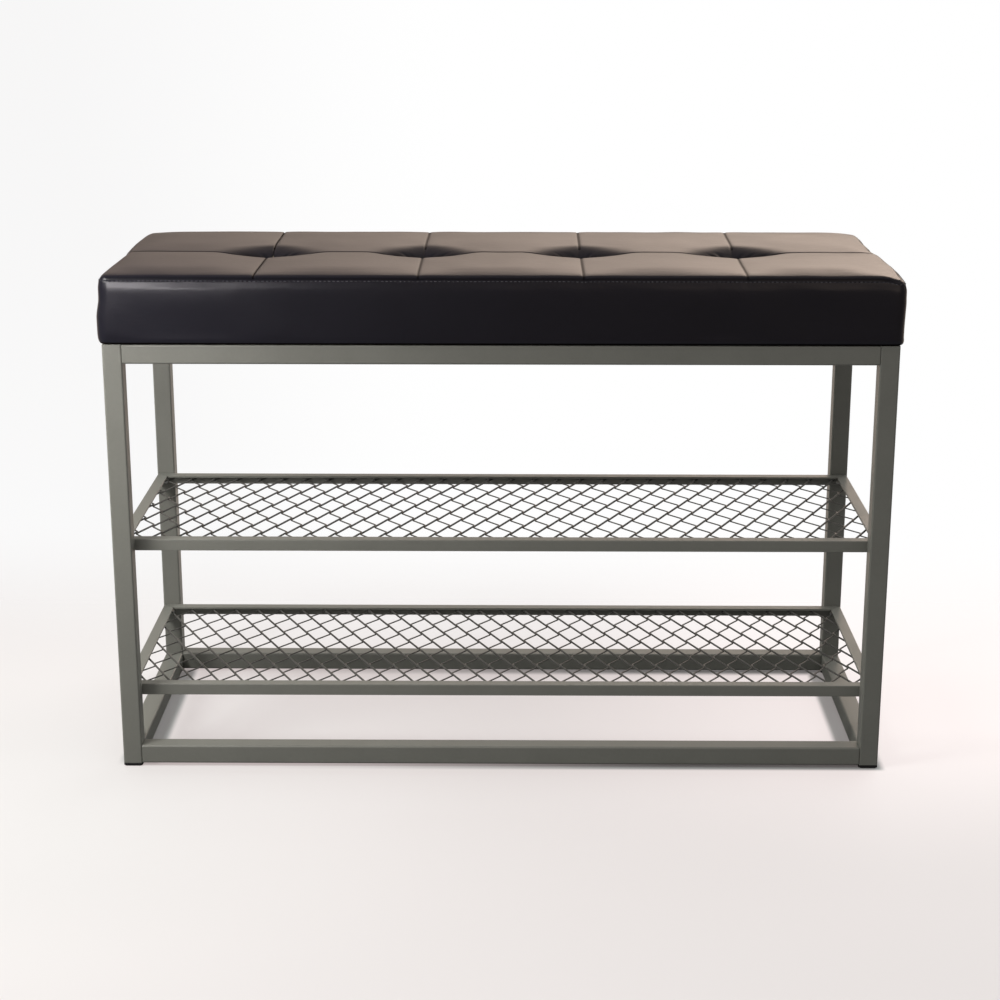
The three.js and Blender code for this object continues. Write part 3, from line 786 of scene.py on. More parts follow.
def square_tube(name, axis, node, settings):
    """The outside of a tube that fills the node's box, and a cutter for its bore."""
    size = extent(node)
    long_way = getattr(size, axis)
    outline = rounded_rectangle(TUBE_SIZE, TUBE_SIZE, settings.tube_corner)
    return bar(name, outline, axis, long_way, middle(node), settings.end_chamfer), long_way


def bore_cutter(axis, length_, centre, settings):
    bore = TUBE_SIZE - 2 * settings.tube_wall
    corner = settings.tube_corner - settings.tube_wall
    return bar("bore", rounded_rectangle(bore, bore, corner, 3), axis, length_, centre)


def drill(radius, axis, length_, centre):
    profile = [(0, -length_ / 2), (radius, -length_ / 2), (radius, length_ / 2), (0, length_ / 2)]
    return turned("drill", profile, axis, centre)


RAIL_BOLTS = [f"rail_bolt_{level}_{corner}" for level in ("top", "bottom") for corner in CORNERS]
SHELF_SCREWS = [f"shelf_screw_{level}_{corner}" for level in LEVELS for corner in CORNERS]
SEAT_SCREWS = [f"seat_screw_{corner}" for corner in CORNERS]
BOLT_RADIUS = 3 * MM
SCREW_RADIUS = 2 * MM


class BENCH_OT_legs(Operator):
    """Builds the four legs of square tube, with their bolt and screw holes"""

    bl_idname = "bench.legs"
    bl_label = "Legs"

    def execute(self, context):
        settings = context.scene.bench_frame
        for corner in CORNERS:
            node = f"leg_{corner}"
            piece, long_way = square_tube(f"leg_tube_{corner}", "z", node, settings)
            cutters = [bore_cutter("z", 2 * long_way, middle(node), settings)]
            end, side = (table[word] for table, word in zip((ENDS, SIDES), corner.split("_")))
            for level in ("top", "bottom"):
                bolt = f"rail_bolt_{level}_{corner}"
                head = extent(bolt).y / 2
                face = Vector((side * LEG_OUTER_X, middle(bolt).y, middle(bolt).z))
                hole = BOLT_RADIUS + settings.hole_gap
                cutters.append(drill(hole, "x", 4 * TUBE_SIZE, face))
                depth = BOLT_RADIUS - head
                sink = [(0, MM), (head + settings.hole_gap + MM, MM), (hole, depth), (0, depth)]
                cutters.append(turned("sink", sink, "x", face, side))
            for level in LEVELS:
                screw = middle(f"shelf_screw_{level}_{corner}")
                inner_face = Vector((screw.x, end * (abs(middle(node).y) - TUBE_SIZE / 2), screw.z))
                cutters.append(drill(SCREW_RADIUS + settings.hole_gap, "y", TUBE_SIZE / 2, inner_face))
            cut(piece, cutters)
            finish_piece(shade(piece), "frame_paint", [node])
        return {"FINISHED"}


class BENCH_OT_rails(Operator):
    """Builds the long rails with their end plates, and the welded side rails"""

    bl_idname = "bench.rails"
    bl_label = "Rails"

    def execute(self, context):
        settings = context.scene.bench_frame
        for level in ("top", "bottom"):
            for end in ENDS:
                node = f"{level}_rail_{end}"
                centre = middle(node)
                piece, long_way = square_tube(f"{level}_long_rail_{end}", "x", node, settings)
                cutters = [
                    bore_cutter("x", long_way - 2 * settings.end_plate, centre, settings),
                    drill(BOLT_RADIUS + settings.hole_gap, "x", long_way + TUBE_SIZE, centre),
                ]
                if level == "top":
                    for side in SIDES:
                        screw = f"seat_screw_{end}_{side}"
                        at = Vector((middle(screw).x, middle(screw).y, centre.z))
                        reach = Vector((0, 0, TUBE_SIZE / 2))
                        access = extent(screw).x / 2 + settings.access_gap
                        cutters.append(drill(SCREW_RADIUS + settings.hole_gap, "z", TUBE_SIZE, at + reach))
                        cutters.append(drill(access, "z", TUBE_SIZE, at - reach))
                cut(piece, cutters)
                finish_piece(shade(piece), "frame_paint", [node])
            for side in SIDES:
                node = f"{level}_rail_{side}"
                piece, long_way = square_tube(f"{level}_side_rail_{side}", "y", node, settings)
                cut(piece, [bore_cutter("y", 2 * long_way, middle(node), settings)])
                finish_piece(shade(piece), "frame_paint", [node])
        return {"FINISHED"}


class BENCH_OT_feet(Operator):
    """Builds the four plastic plugs under the legs"""

    bl_idname = "bench.feet"
    bl_label = "Feet"

    def execute(self, context):
        settings = context.scene.bench_frame
        nodes = [f"foot_{corner}" for corner in CORNERS]
        low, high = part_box(nodes[0])
        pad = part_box("leg_front_left")[0].z - low.z
        chamfer = settings.foot_chamfer
        stem = TUBE_SIZE - 2 * settings.tube_wall - 0.6 * MM
        sections = [
            (TUBE_SIZE - 2 * chamfer, 0.0),
            (TUBE_SIZE, chamfer),
            (TUBE_SIZE, pad - 0.3 * MM),
            (TUBE_SIZE - 0.6 * MM, pad),
            (stem, pad),
            (stem, high.z - low.z - 0.5 * MM),
            (stem - MM, high.z - low.z),
        ]
        vertices = []
        for width, height in sections:
            corner = min(settings.tube_corner, width / 4)
            vertices += [(x, y, height) for x, y in rounded_rectangle(width, width, corner, 4)]
        shape = lofted("foot_shape", vertices, len(vertices) // len(sections))
        places = [(middle(node).x, middle(node).y, low.z) for node in nodes]
        repeat_shape("foot_plugs", shape, places, [(0, 0, 0)] * len(nodes), "foot_plastic", nodes)
        return {"FINISHED"}


def hexagon(across_flats):
    radius = across_flats / math.sqrt(3)
    return [(radius * math.cos(i * math.pi / 3), radius * math.sin(i * math.pi / 3)) for i in range(6)]


class BENCH_OT_rail_bolts(Operator):
    """Builds the eight countersunk bolts that hold the long rails to the legs"""

    bl_idname = "bench.rail_bolts"
    bl_label = "Rail Bolts"

    def execute(self, context):
        size = extent(RAIL_BOLTS[0])
        head, radius, chamfer = size.y / 2, BOLT_RADIUS, 0.25 * MM
        profile = [(0, 0), (head - chamfer, 0), (head, chamfer), (radius, head - radius + chamfer)]
        profile += [(radius, size.x - MM), (radius - MM, size.x), (0, size.x)]
        shape = turned("bolt_shape", profile, "z", Vector())
        socket = bar("socket", hexagon(4 * MM), "z", 4 * MM, Vector())
        cut(shape, [socket])
        places, turns = [], []
        for node in RAIL_BOLTS:
            side = SIDES[node.split("_")[-1]]
            places.append((side * LEG_OUTER_X, middle(node).y, middle(node).z))
            turns.append((0, -side * math.pi / 2, 0))
        repeat_shape("rail_bolts", shape, places, turns, "bolt_steel", RAIL_BOLTS)
        return {"FINISHED"}


def pan_screw(head_radius, head_height, length_):
    """A pan-head screw with a cross recess: its bearing face is on z = 0 and its shank points up."""
    radius = SCREW_RADIUS
    profile = [(0, -head_height)]
    for step in range(1, 5):
        angle = step / 4 * math.pi / 2
        profile.append((head_radius * math.sin(angle), -head_height * (0.35 + 0.65 * math.cos(angle))))
    profile += [(head_radius, 0), (radius, 0), (radius, length_ - radius)]
    profile += [(radius / 3, length_), (0, length_)]
    shape = turned("screw_shape", profile, "z", Vector())
    recess = []
    for wide, narrow in ((1.5 * MM, 0.375 * MM), (0.375 * MM, 1.5 * MM)):
        outline = [(wide, narrow), (-wide, narrow), (-wide, -narrow), (wide, -narrow)]
        recess.append(bar("recess", outline, "z", 2.4 * MM, Vector((0, 0, -head_height))))
    return cut(shape, recess)


class BENCH_OT_screws(Operator):
    """Builds the shelf screws and the seat screws"""

    bl_idname = "bench.screws"
    bl_label = "Screws"

    def execute(self, context):
        size = extent(SHELF_SCREWS[0])
        head = 2.2 * MM
        shape = pan_screw(size.x / 2, head, size.y - head)
        places, turns = [], []
        for node in SHELF_SCREWS:
            end = ENDS[node.split("_")[-2]]
            low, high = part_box(node)
            inner = low.y if end > 0 else high.y
            places.append((middle(node).x, inner + end * head, middle(node).z))
            turns.append((-end * math.pi / 2, 0, 0))
        repeat_shape("shelf_screws", shape, places, turns, "screw_steel", SHELF_SCREWS)
        size = extent(SEAT_SCREWS[0])
        head = 2.8 * MM
        shape = pan_screw(size.x / 2, head, size.z - head)
        places = [(middle(node).x, middle(node).y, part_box(node)[0].z + head) for node in SEAT_SCREWS]
        repeat_shape("seat_screws", shape, places, [(0, 0, 0)] * 4, "screw_steel", SEAT_SCREWS)
        return {"FINISHED"}


# ---------------------------------------------------------------------------
# Shelf pieces
# ---------------------------------------------------------------------------


class BENCH_OT_shelf_edges(Operator):
    """Builds the mitred angle bars round both shelves"""

    bl_idname = "bench.shelf_edges"
    bl_label = "Shelf Edges"

    def angle_section(self, size, thickness, corner):
        """Points of the section as (inwards, up), from the outer face and the top."""
        tip, root = 0.35 * MM, 1.2 * MM
        points = [(size, -tip), (size - tip, 0)]
        for step in range(6):
            angle = math.pi / 2 * (1 + step / 5)
            points.append((corner + corner * math.cos(angle), -corner + corner * math.sin(angle)))
        points += [(0, -size + tip), (tip, -size), (thickness - tip, -size), (thickness, -size + tip)]
        centre = thickness + root
        for step in range(4):
            angle = math.pi * (1 - step / 6)
            points.append((centre + root * math.cos(angle), -centre + root * math.sin(angle)))
        return points + [(size - tip, -thickness), (size, -thickness + tip)]

    def execute(self, context):
        shelf = context.scene.bench_shelf
        settings = context.scene.bench_frame
        for level in LEVELS:
            for place in ("front", "rear", "left", "right"):
                node = f"{level}_shelf_edge_{place}"
                low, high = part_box(node)
                size = high - low
                is_long = place in ENDS
                half = (size.x if is_long else size.y) / 2 - shelf.mitre_gap
                sign = ENDS.get(place) or SIDES.get(place)
                face = high if sign > 0 else low
                outer = abs(face.y if is_long else face.x)
                section = self.angle_section(size.z, shelf.angle_thickness, shelf.angle_corner)
                vertices = []
                for tip in (-1, 1):
                    for inwards, up in section:
                        along, across = tip * (half - inwards), sign * (outer - inwards)
                        flat = (along, across) if is_long else (across, along)
                        vertices.append((*flat, high.z + up))
                piece = lofted(f"{level}_edge_bar_{place}", vertices, len(section))
                if is_long:
                    cutters = []
                    for side in SIDES:
                        screw = middle(f"shelf_screw_{level}_{place}_{side}")
                        at = Vector((screw.x, sign * outer, screw.z))
                        cutters.append(drill(SCREW_RADIUS + settings.hole_gap, "y", size.z, at))
                    cut(piece, cutters)
                finish_piece(shade(piece), "frame_paint", [node])
        return {"FINISHED"}


# Each panel's own place on the pattern of the sheet, across and along, and its stretch across
MESH_PATTERNS = {"upper": (10.6 * MM, 12.5 * MM, 1.0065), "lower": (0.0, 16.9 * MM, 0.996)}


def trim(piece, half_x, half_y):
    """Cuts a piece off at four upright planes, and closes the cut ends."""
    with edited(piece) as work:
        for outwards in ((1, 0, 0), (-1, 0, 0), (0, 1, 0), (0, -1, 0)):
            at = (outwards[0] * half_x, outwards[1] * half_y, 0)
            parts = work.verts[:] + work.edges[:] + work.faces[:]
            bmesh.ops.bisect_plane(work, geom=parts, plane_co=at, plane_no=outwards, clear_outer=True)
            ends = [edge for edge in work.edges if edge.is_boundary]
            bmesh.ops.holes_fill(work, edges=ends, sides=0)


class BENCH_OT_shelf_meshes(Operator):
    """Builds the expanded-metal panels of both shelves"""

    bl_idname = "bench.shelf_meshes"
    bl_label = "Shelf Meshes"

    def execute(self, context):
        shelf = context.scene.bench_shelf
        tree = make_mesh_panel_tree()
        tilt = math.asin(shelf.strand_rise / shelf.strand_width)
        half_width, half_thickness = shelf.strand_width / 2, shelf.strand_thickness / 2
        lift = shelf.strand_rise / 2 + half_width * math.sin(tilt) + half_thickness * math.cos(tilt)
        for level in LEVELS:
            node = f"{level}_shelf_mesh"
            half = extent(node) / 2
            shift_x, shift_y, stretch = MESH_PATTERNS[level]
            half_column = stretch * shelf.diamond_width / 2
            half_row = shelf.diamond_length / 2
            values = {
                "Ribbons": 4 * math.ceil((half.x + shift_x) / 2 / half_column),
                "Rows": 3 + 4 * math.ceil((half.y + shift_y) / 2 / half_row),
                "Diamond Width": 2 * half_column,
                "Diamond Length": shelf.diamond_length,
                "Bond Length": shelf.bond_length,
                "Strand Width": shelf.strand_width,
                "Strand Thickness": shelf.strand_thickness,
                "Rise": shelf.strand_rise,
                "Tilt": -tilt,
                "Centre": Vector((shift_x, shift_y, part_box(node)[1].z - lift)),
                "Facing": Vector((0, 0, 0 if level == "upper" else math.pi)),
                "Material": MATERIALS["mesh_paint"],
            }
            piece = grow(new_object(f"{level}_expanded_metal", [], []), tree, values)
            trim(piece, half.x, half.y)
            finish_piece(shade(piece), "mesh_paint", [node])
        return {"FINISHED"}


# ---------------------------------------------------------------------------
# Seat cushion
# ---------------------------------------------------------------------------

# The cushion's side from its rolled top edge to its hem, as (inset from the outer face, height above
# the frame) in millimetres. The roll above it is a quarter ellipse.
SIDE_PROFILE = [(2.1, 65.4), (1.75, 63.6), (1.25, 61.0), (0.8, 58.6), (0.5, 56.0), (0.3, 52.5), (0.15, 47.0)]
SIDE_PROFILE += [(0.03, 38.0), (0.0, 24.0), (0.15, 8.0), (0.6, 4.2), (1.5, 1.7), (2.9, 0.4), (4.8, 0.05)]
HEM_WIDTH = 30 * MM
TOP_REFERENCE = 70.6 * MM
# How far each cross seam wanders to the right at the front edge, at its tuft and at the rear edge
SEAM_WANDER = [(1.5, 2.5, 1.5), (0.1, 0.0, 0.5), (0.0, 0.8, 2.5), (-2.5, -0.5, 2.5)]


def bell(distance, width):
    return np.exp(-((distance / width) ** 2))


def ease(value):
    """A smooth step from 0 to 1."""
    value = np.clip(value, 0.0, 1.0)
    return value * value * (3 - 2 * value)


def spline(values, at):
    """A Catmull-Rom curve through evenly spaced values, read at positions from 0 to len - 1."""
    values = np.asarray(values, float)
    padded = np.concatenate([2 * values[:1] - values[1:2], values, 2 * values[-1:] - values[-2:-1]])
    cell = np.clip(np.floor(at).astype(int), 0, len(values) - 2)
    t = (np.asarray(at) - cell)[:, None] if values.ndim > 1 else np.asarray(at) - cell
    p0, p1, p2, p3 = (padded[cell + i] for i in range(4))
    return 0.5 * (
        2 * p1 + (p2 - p0) * t + (2 * p0 - 5 * p1 + 4 * p2 - p3) * t**2 + (3 * p1 - p0 - 3 * p2 + p3) * t**3
    )


def seam_x(index, y):
    """Where a cross seam runs, at depths y through the cushion."""
    front, tuft, rear = (value * MM for value in SEAM_WANDER[index])
    back = np.clip(y / SEAT_HALF.y, 0, 1)
    fore = np.clip(-y / SEAT_HALF.y, 0, 1)
    return TUFT_XS[index] + tuft * (1 - back) * (1 - fore) + front * fore + rear * back


def seam_gap(x, y):
    """Distance to the nearest seam of the top."""
    gap = np.abs(y)
    for index in range(len(TUFT_XS)):
        gap = np.minimum(gap, np.abs(x - seam_x(index, y)))
    return gap


def edge_gap(x, y):
    """Distance to the nearest side of the cushion."""
    return np.minimum(SEAT_HALF.x - np.abs(x), SEAT_HALF.y - np.abs(y))


def ripple(x, y, seed, wave):
    """A smooth, repeatable unevenness between -1 and 1, with features about one wave across."""
    rng = np.random.default_rng(seed)
    total = np.zeros_like(x)
    for _ in range(7):
        angle = rng.uniform(0, math.tau)
        pace = math.tau / (wave * rng.uniform(0.7, 1.6))
        phase = rng.uniform(0, math.tau)
        total += np.sin((x * math.cos(angle) + y * math.sin(angle)) * pace + phase)
    return total / 4


def tuft_shape(x, y, index, seat):
    """Depth of one tufted dimple: long along the lengthwise seam, short across it."""
    dx = x - seam_x(index, np.zeros_like(y))
    reach_x = 66 * MM
    reach_y = np.where(y > 0, 54 * MM, 46 * MM)
    ux = np.abs(dx) / reach_x
    uy = np.abs(y) / reach_y
    front = np.clip(1 - (ux**1.35 + uy**1.35) ** (1 / 1.35), 0, None)
    middle_ = np.clip(1 - ux, 0, None)
    rear = middle_ * np.clip(1 - uy / (0.4 + 0.6 * middle_), 0, None)
    return seat.tuft_depth * np.where(y > 0, rear, front) ** 2


def top_height(x, y, seat, is_fine):
    """Height of the cushion's top above the frame, before the cloth is blown up."""
    z = np.full_like(x, TOP_REFERENCE)
    z -= 1.6 * MM * ease((y + SEAT_HALF.y) / (2 * SEAT_HALF.y))
    z -= np.where(y < 0, 0.3, 1.0) * MM * np.exp(-edge_gap(x, y) / (10 * MM))
    z -= 0.65 * MM * np.clip(1 - (SEAT_HALF.y + y - seat.roll) / (11 * MM), 0, 1) ** 2
    corner = np.hypot(SEAT_HALF.x - np.abs(x), SEAT_HALF.y - np.abs(y))
    z -= np.where(y < 0, 1.2 * MM * bell(corner, 15 * MM), 2.3 * MM * bell(corner, 21 * MM))
    along_end = 0.25 + 0.75 * ease((-y - 70 * MM) / (70 * MM))
    z -= 4.4 * MM * ease((x - 379 * MM) / (24 * MM)) * along_end
    for index in range(len(TUFT_XS)):
        z -= tuft_shape(x, y, index, seat)
    z -= 0.5 * MM * np.exp(-seam_gap(x, y) / (5 * MM))
    if is_fine:
        z += 0.18 * MM * ripple(x, y, 3, 60 * MM)
        z += crease_height(x, y)
    return z


def crease_height(x, y):
    """Fine creases that run out of each tuft."""
    total = np.zeros_like(x)
    for index in range(len(TUFT_XS)):
        dx = x - seam_x(index, np.zeros_like(y))
        angle = np.arctan2(y * 1.5, dx)
        radius = np.hypot(dx / (46 * MM), y / (30 * MM))
        rng = np.random.default_rng(20 + index)
        for _ in range(9):
            towards = rng.uniform(0.15, math.pi - 0.15) * (1 if rng.uniform() < 0.7 else -1)
            spread = rng.uniform(0.07, 0.13)
            depth = rng.uniform(0.5, 1.1) * MM
            start = rng.uniform(0.22, 0.35)
            away = np.abs(np.angle(np.exp(1j * (angle - towards))))
            run = ease((radius - 0.08) / 0.15) * ease((start + 0.55 - radius) / 0.35)
            total -= depth * bell(away, spread) * run
    return total


def side_rings(seat, is_fine):
    """Insets and heights of the rings from the top grid's edge down to the bottom edge."""
    rings = []
    roll = seat.roll
    low_inset, low_height = (value * MM for value in SIDE_PROFILE[0])
    steps = 9 if is_fine else 4
    for step in range(1, steps + 1):
        t = step / steps
        inset = (1 - t) ** 2 * roll + 2 * t * (1 - t) * 0.53 * roll + t**2 * low_inset
        height = (1 - t) ** 2 * TOP_REFERENCE + t**2 * low_height
        height += 2 * t * (1 - t) * (TOP_REFERENCE - 0.6 * MM)
        rings.append((inset, height))
    per_span = 4 if is_fine else 1
    spans = len(SIDE_PROFILE) - 1
    at = np.linspace(0, spans, spans * per_span + 1)[1:]
    insets = spline([p[0] for p in SIDE_PROFILE], at) * MM
    heights = spline([p[1] for p in SIDE_PROFILE], at) * MM
    rings += list(zip(insets, heights))
    return rings


def spaced_lines(low, high, step, zones):
    """Positions from low to high, closer together inside the zones, given as (centre, reach, step)."""
    lines = [low]
    while lines[-1] < high:
        here = lines[-1]
        pace = step
        for centre, reach, fine in zones:
            if centre - reach - fine <= here < centre + reach:
                pace = min(pace, fine)
            elif here < centre - reach < here + pace:
                pace = min(pace, centre - reach - here)
        lines.append(here + pace)
    lines = np.array(lines)
    return low + (lines - low) * (high - low) / (lines[-1] - low)


def grid_rim(last_x, last_y):
    """The edge of a grid as a loop of its positions, counter-clockwise seen from above."""
    loop = [(i, 0) for i in range(last_x)] + [(last_x, j) for j in range(last_y)]
    return loop + [(i, last_y) for i in range(last_x, 0, -1)] + [(0, j) for j in range(last_y, 0, -1)]


def grid_faces(rows, columns):
    """Quads over a grid of points that runs along its columns first."""
    corners = [i * columns + j for i in range(rows - 1) for j in range(columns - 1)]
    return [(a, a + columns, a + columns + 1, a + 1) for a in corners]


class CushionGrid:
    """The cushion's surface: a grid over its top, then rings down its side."""

    def __init__(self, seat, is_fine):
        self.seat = seat
        self.is_fine = is_fine
        self.half = SEAT_HALF - Vector((seat.roll, seat.roll))
        radius = seat.corner - seat.roll + 2 * MM
        self.radius = radius
        if is_fine:
            zones_x, zones_y = [], []
            for reach, fine in ((46, 2.4), (30, 1.4), (1.2, 0.4)):
                zones_x += [(x, reach * MM, fine * MM) for x in TUFT_XS]
                zones_y.append((0.0, reach * MM, fine * MM))
            step = 6 * MM
        else:
            zones_x, zones_y, step = [], [], 7 * MM
        self.xs = self.lines(self.half.x, radius, step, zones_x)
        self.ys = self.lines(self.half.y, radius, step, zones_y)
        self.make_top()
        self.make_rim()

    def lines(self, half, radius, step, zones):
        inner = spaced_lines(radius - half, half - radius, step, zones)
        corner = np.linspace(0, radius, 4 if self.is_fine else 2)[1:]
        return np.concatenate([-half + radius - corner[::-1], inner, half - radius + corner])

    def fold_corners(self, gx, gy, half_x, half_y, radius):
        """Bends the square corners of a grid into round ones. Also gives the directions outwards."""
        u = np.clip((np.abs(gx) - half_x + radius) / radius, 0, 1)
        v = np.clip((np.abs(gy) - half_y + radius) / radius, 0, 1)
        round_u = u * np.sqrt(1 - v**2 / 2)
        round_v = v * np.sqrt(1 - u**2 / 2)
        x = np.sign(gx) * (np.minimum(np.abs(gx), half_x - radius) + radius * round_u)
        y = np.sign(gy) * (np.minimum(np.abs(gy), half_y - radius) + radius * round_v)
        return x, y, np.sign(gx) * round_u, np.sign(gy) * round_v

    def make_top(self):
        gx, gy = np.meshgrid(self.xs, self.ys, indexing="ij")
        x, y, self.out_x, self.out_y = self.fold_corners(gx, gy, self.half.x, self.half.y, self.radius)
        fade = ease((self.half.x - np.abs(x)) / (20 * MM))
        shift = np.zeros_like(x)
        weight = np.zeros_like(x)
        for index, home in enumerate(TUFT_XS):
            near = ease(1 - np.abs(gx - home) / (60 * MM))
            shift += near * (seam_x(index, y) - home)
            weight += near
        x = x + fade * shift / np.maximum(weight, 1)
        self.top_x, self.top_y = x, y
        self.top_z = top_height(x, y, self.seat, self.is_fine)

    def make_rim(self):
        """The edge of the top, with its heights and the way outwards at each point."""
        self.rim = np.array(grid_rim(len(self.xs) - 1, len(self.ys) - 1))
        at = tuple(self.rim.T)
        self.rim_x, self.rim_y, self.rim_z = self.top_x[at], self.top_y[at], self.top_z[at]
        self.rim_out = np.stack([self.out_x[at], self.out_y[at]], 1)

    def ring(self, inset, height):
        """One ring of the side. Its upper part follows the uneven edge of the top."""
        grow_by = self.seat.roll - inset
        x = self.rim_x + self.rim_out[:, 0] * grow_by
        y = self.rim_y + self.rim_out[:, 1] * grow_by
        follow = ease((height - 40 * MM) / (TOP_REFERENCE - 40 * MM))
        z = SEAT_LOW.z + height + (self.rim_z - TOP_REFERENCE) * follow
        return np.stack([x, y, z], 1)

    def build(self):
        """All points, and faces with their normals outwards. The bottom is left open."""
        top = np.stack([self.top_x, self.top_y, self.top_z + SEAT_LOW.z], -1).reshape(-1, 3)
        columns = len(self.ys)
        faces = grid_faces(len(self.xs), columns)
        points = [top]
        above = [i * columns + j for i, j in self.rim]
        count = len(above)
        start = len(top)
        self.ring_starts = []
        for inset, height in side_rings(self.seat, self.is_fine):
            points.append(self.ring(inset, height))
            self.ring_starts.append(start)
            for i in range(count):
                j = (i + 1) % count
                faces.append((above[i], start + i, start + j, above[j]))
            above = [start + i for i in range(count)]
            start += count
        self.last_ring = above
        return np.concatenate(points), faces


def vertex_normals(points, faces):
    """Area-weighted normals of a quad mesh."""
    corners = np.array(faces)
    across = np.cross(
        points[corners[:, 2]] - points[corners[:, 0]], points[corners[:, 3]] - points[corners[:, 1]]
    )
    normals = np.zeros_like(points)
    for column in range(4):
        np.add.at(normals, corners[:, column], across)
    return normals / np.maximum(np.linalg.norm(normals, axis=1, keepdims=True), 1e-12)


CLOTH_SETTINGS = {
    "quality": 6,
    "mass": 0.4,
    "tension_stiffness": 60,
    "compression_stiffness": 60,
    "shear_stiffness": 25,
    "bending_stiffness": 2.0,
    "use_pressure": True,
    "uniform_pressure_force": 4.0,
    "vertex_group_mass": "held",
}
CLOTH_FRAMES = 20
MOST_MOVE = 2.2 * MM


def inflate_cushion(seat):
    """Blows the cushion up as a closed pad of cloth under pressure, held at its seams, tufts and bottom.

    Gives the resting points and how far each moved."""
    grid = CushionGrid(seat, is_fine=False)
    points, faces = grid.build()
    count = len(points)
    bottom = len(grid.last_ring)
    points = np.concatenate([points, [[0.0, 0.0, SEAT_LOW.z]]])
    for i in range(bottom):
        faces.append((grid.last_ring[i], count, count, grid.last_ring[(i + 1) % bottom]))
    closed = [tuple(dict.fromkeys(face)) for face in faces]
    pad = new_object("cushion_cloth", points, closed)
    face_outwards(pad)
    held = pad.vertex_groups.new(name="held")
    low = points[:, 2] - SEAT_LOW.z
    on_seam = (low > 50 * MM) & (seam_gap(points[:, 0], points[:, 1]) < 4 * MM)
    is_held = (low < 4 * MM) | on_seam | (np.abs(low - 64 * MM) < 2.5 * MM)
    held.add([int(i) for i in np.nonzero(is_held)[0]], 1.0, "REPLACE")
    cloth = pad.modifiers.new("Cloth", "CLOTH")
    for key, value in CLOTH_SETTINGS.items():
        setattr(cloth.settings, key, value)
    cloth.settings.effector_weights.gravity = 0.0
    cloth.point_cache.frame_start = 1
    cloth.point_cache.frame_end = CLOTH_FRAMES
    scene = bpy.context.scene
    for frame_number in range(1, CLOTH_FRAMES + 1):
        scene.frame_set(frame_number)
    blown = pad.evaluated_get(bpy.context.evaluated_depsgraph_get())
    after = np.array([tuple(v.co) for v in blown.data.vertices])
    scene.frame_set(1)
    bpy.data.objects.remove(pad)
    moved = after - points
    size = np.linalg.norm(moved, axis=1, keepdims=True)
    moved *= np.minimum(1.0, MOST_MOVE / np.maximum(size, 1e-9))
    return points, evened(moved, closed, is_held)


def evened(moved, faces, is_held, rounds=6):
    """The moves of the cloth with their small unevenness spread over the neighbouring points."""
    pairs = np.array([(face[i - 1], face[i]) for face in faces for i in range(len(face))])
    number = np.bincount(pairs.ravel(), minlength=len(moved))[:, None]
    for _ in range(rounds):
        total = np.zeros_like(moved)
        np.add.at(total, pairs[:, 0], moved[pairs[:, 1]])
        np.add.at(total, pairs[:, 1], moved[pairs[:, 0]])
        moved = np.where(is_held[:, None], moved, 0.4 * moved + 0.6 * total / np.maximum(number, 1))
    return moved


def carry_over(points, moved, targets):
    """Moves of the cloth, read at other points as a soft average over the points of the cloth nearby."""
    tree = KDTree(len(points))
    for index, point in enumerate(points):
        tree.insert(Vector(point), index)
    tree.balance()
    result = np.zeros_like(targets)
    for i, target in enumerate(targets):
        near = tree.find_n(Vector(target), 20)
        weights = np.exp(-((np.array([distance for _, _, distance in near]) / (6 * MM)) ** 2))
        result[i] = weights @ moved[[index for _, index, _ in near]] / weights.sum()
    return result


def seam_groove(points, seat):
    """How deep the grooves along the seams of the top are at each point."""
    x, y, z = points.T
    groove = np.exp(-seam_gap(x, y) / seat.seam_width)
    top = ease((z - SEAT_LOW.z - 50 * MM) / (8 * MM))
    return seat.seam_depth * groove * top * ease((edge_gap(x, y) - 3 * MM) / (4 * MM))


def seam_and_painted_shade_mask(points):
    """1 on the seams of the top, there partly painted shade in the groove, and painted shade under the bottom
    edge; less painted shade in the tufts and along the rolled top edge.
    """
    x, y, z = points.T
    height = z - SEAT_LOW.z
    # Seam lines: the matte edge of the seam and painted shade in its groove.
    seams = bell(seam_gap(x, y), 1.1 * MM) * (height > 66.5 * MM)
    # Painted shade under the bottom edge, where the cushion turns under above the rail.
    under = ease((3.0 * MM - height) / (1.4 * MM))
    # Painted shade along the rolled top edge, above the stitched line round the side.
    band = 0.5 * ease((height - 65.4 * MM) / (0.8 * MM)) * ease((6.0 * MM - edge_gap(x, y)) / (2.5 * MM))
    # Painted shade in the rear wall of each tufted dimple.
    hollows = [0.85 * bell(x - at, 30 * MM) * bell(y - 5 * MM, 9 * MM) * (y > 0) for at in TUFT_XS]
    return np.max([seams, under, band, *hollows], axis=0)


def stitch_groove(points, seat):
    """How deep the stitched line pulls the leather in round the side."""
    x, y, z = points.T
    drop = TOP_REFERENCE - seat.stitch_drop
    return 0.7 * MM * bell(z - SEAT_LOW.z - drop, 1.0 * MM) * (edge_gap(x, y) < 5 * MM)


def end_shift(points):
    """The two ends were not sewn alike: how far each is pushed along the bench."""
    x, y, height = points[:, 0], points[:, 1], points[:, 2] - SEAT_LOW.z
    left = ease((-x - 0.36) / 0.04)
    right = ease((x - 0.36) / 0.04)
    upper = ease((height - 45 * MM) / (15 * MM))
    lower = ease((46 * MM - height) / (20 * MM))
    front = ease(-(y + 0.05) / 0.06)
    pull = upper * (2.0 * bell(y + 0.01, 0.022) - 1.6 * bell(y - 0.075, 0.045) + 1.9 * bell(y + 0.05, 0.035))
    pull += 1.0 * bell(height - 47 * MM, 13 * MM) - 1.7 * lower
    push = upper * (1.2 * bell(y + 0.095, 0.05) - 2.8 * bell(y - 0.08, 0.04) - 3.8 * bell(y - 0.025, 0.022))
    push += 2.4 * front * bell(height - 50 * MM, 15 * MM) - 0.9 * bell(height - 50 * MM, 7 * MM)
    push += 0.8 * lower + 1.3 * ease((10 * MM - height) / (9 * MM))
    return (left * pull + right * push) * MM


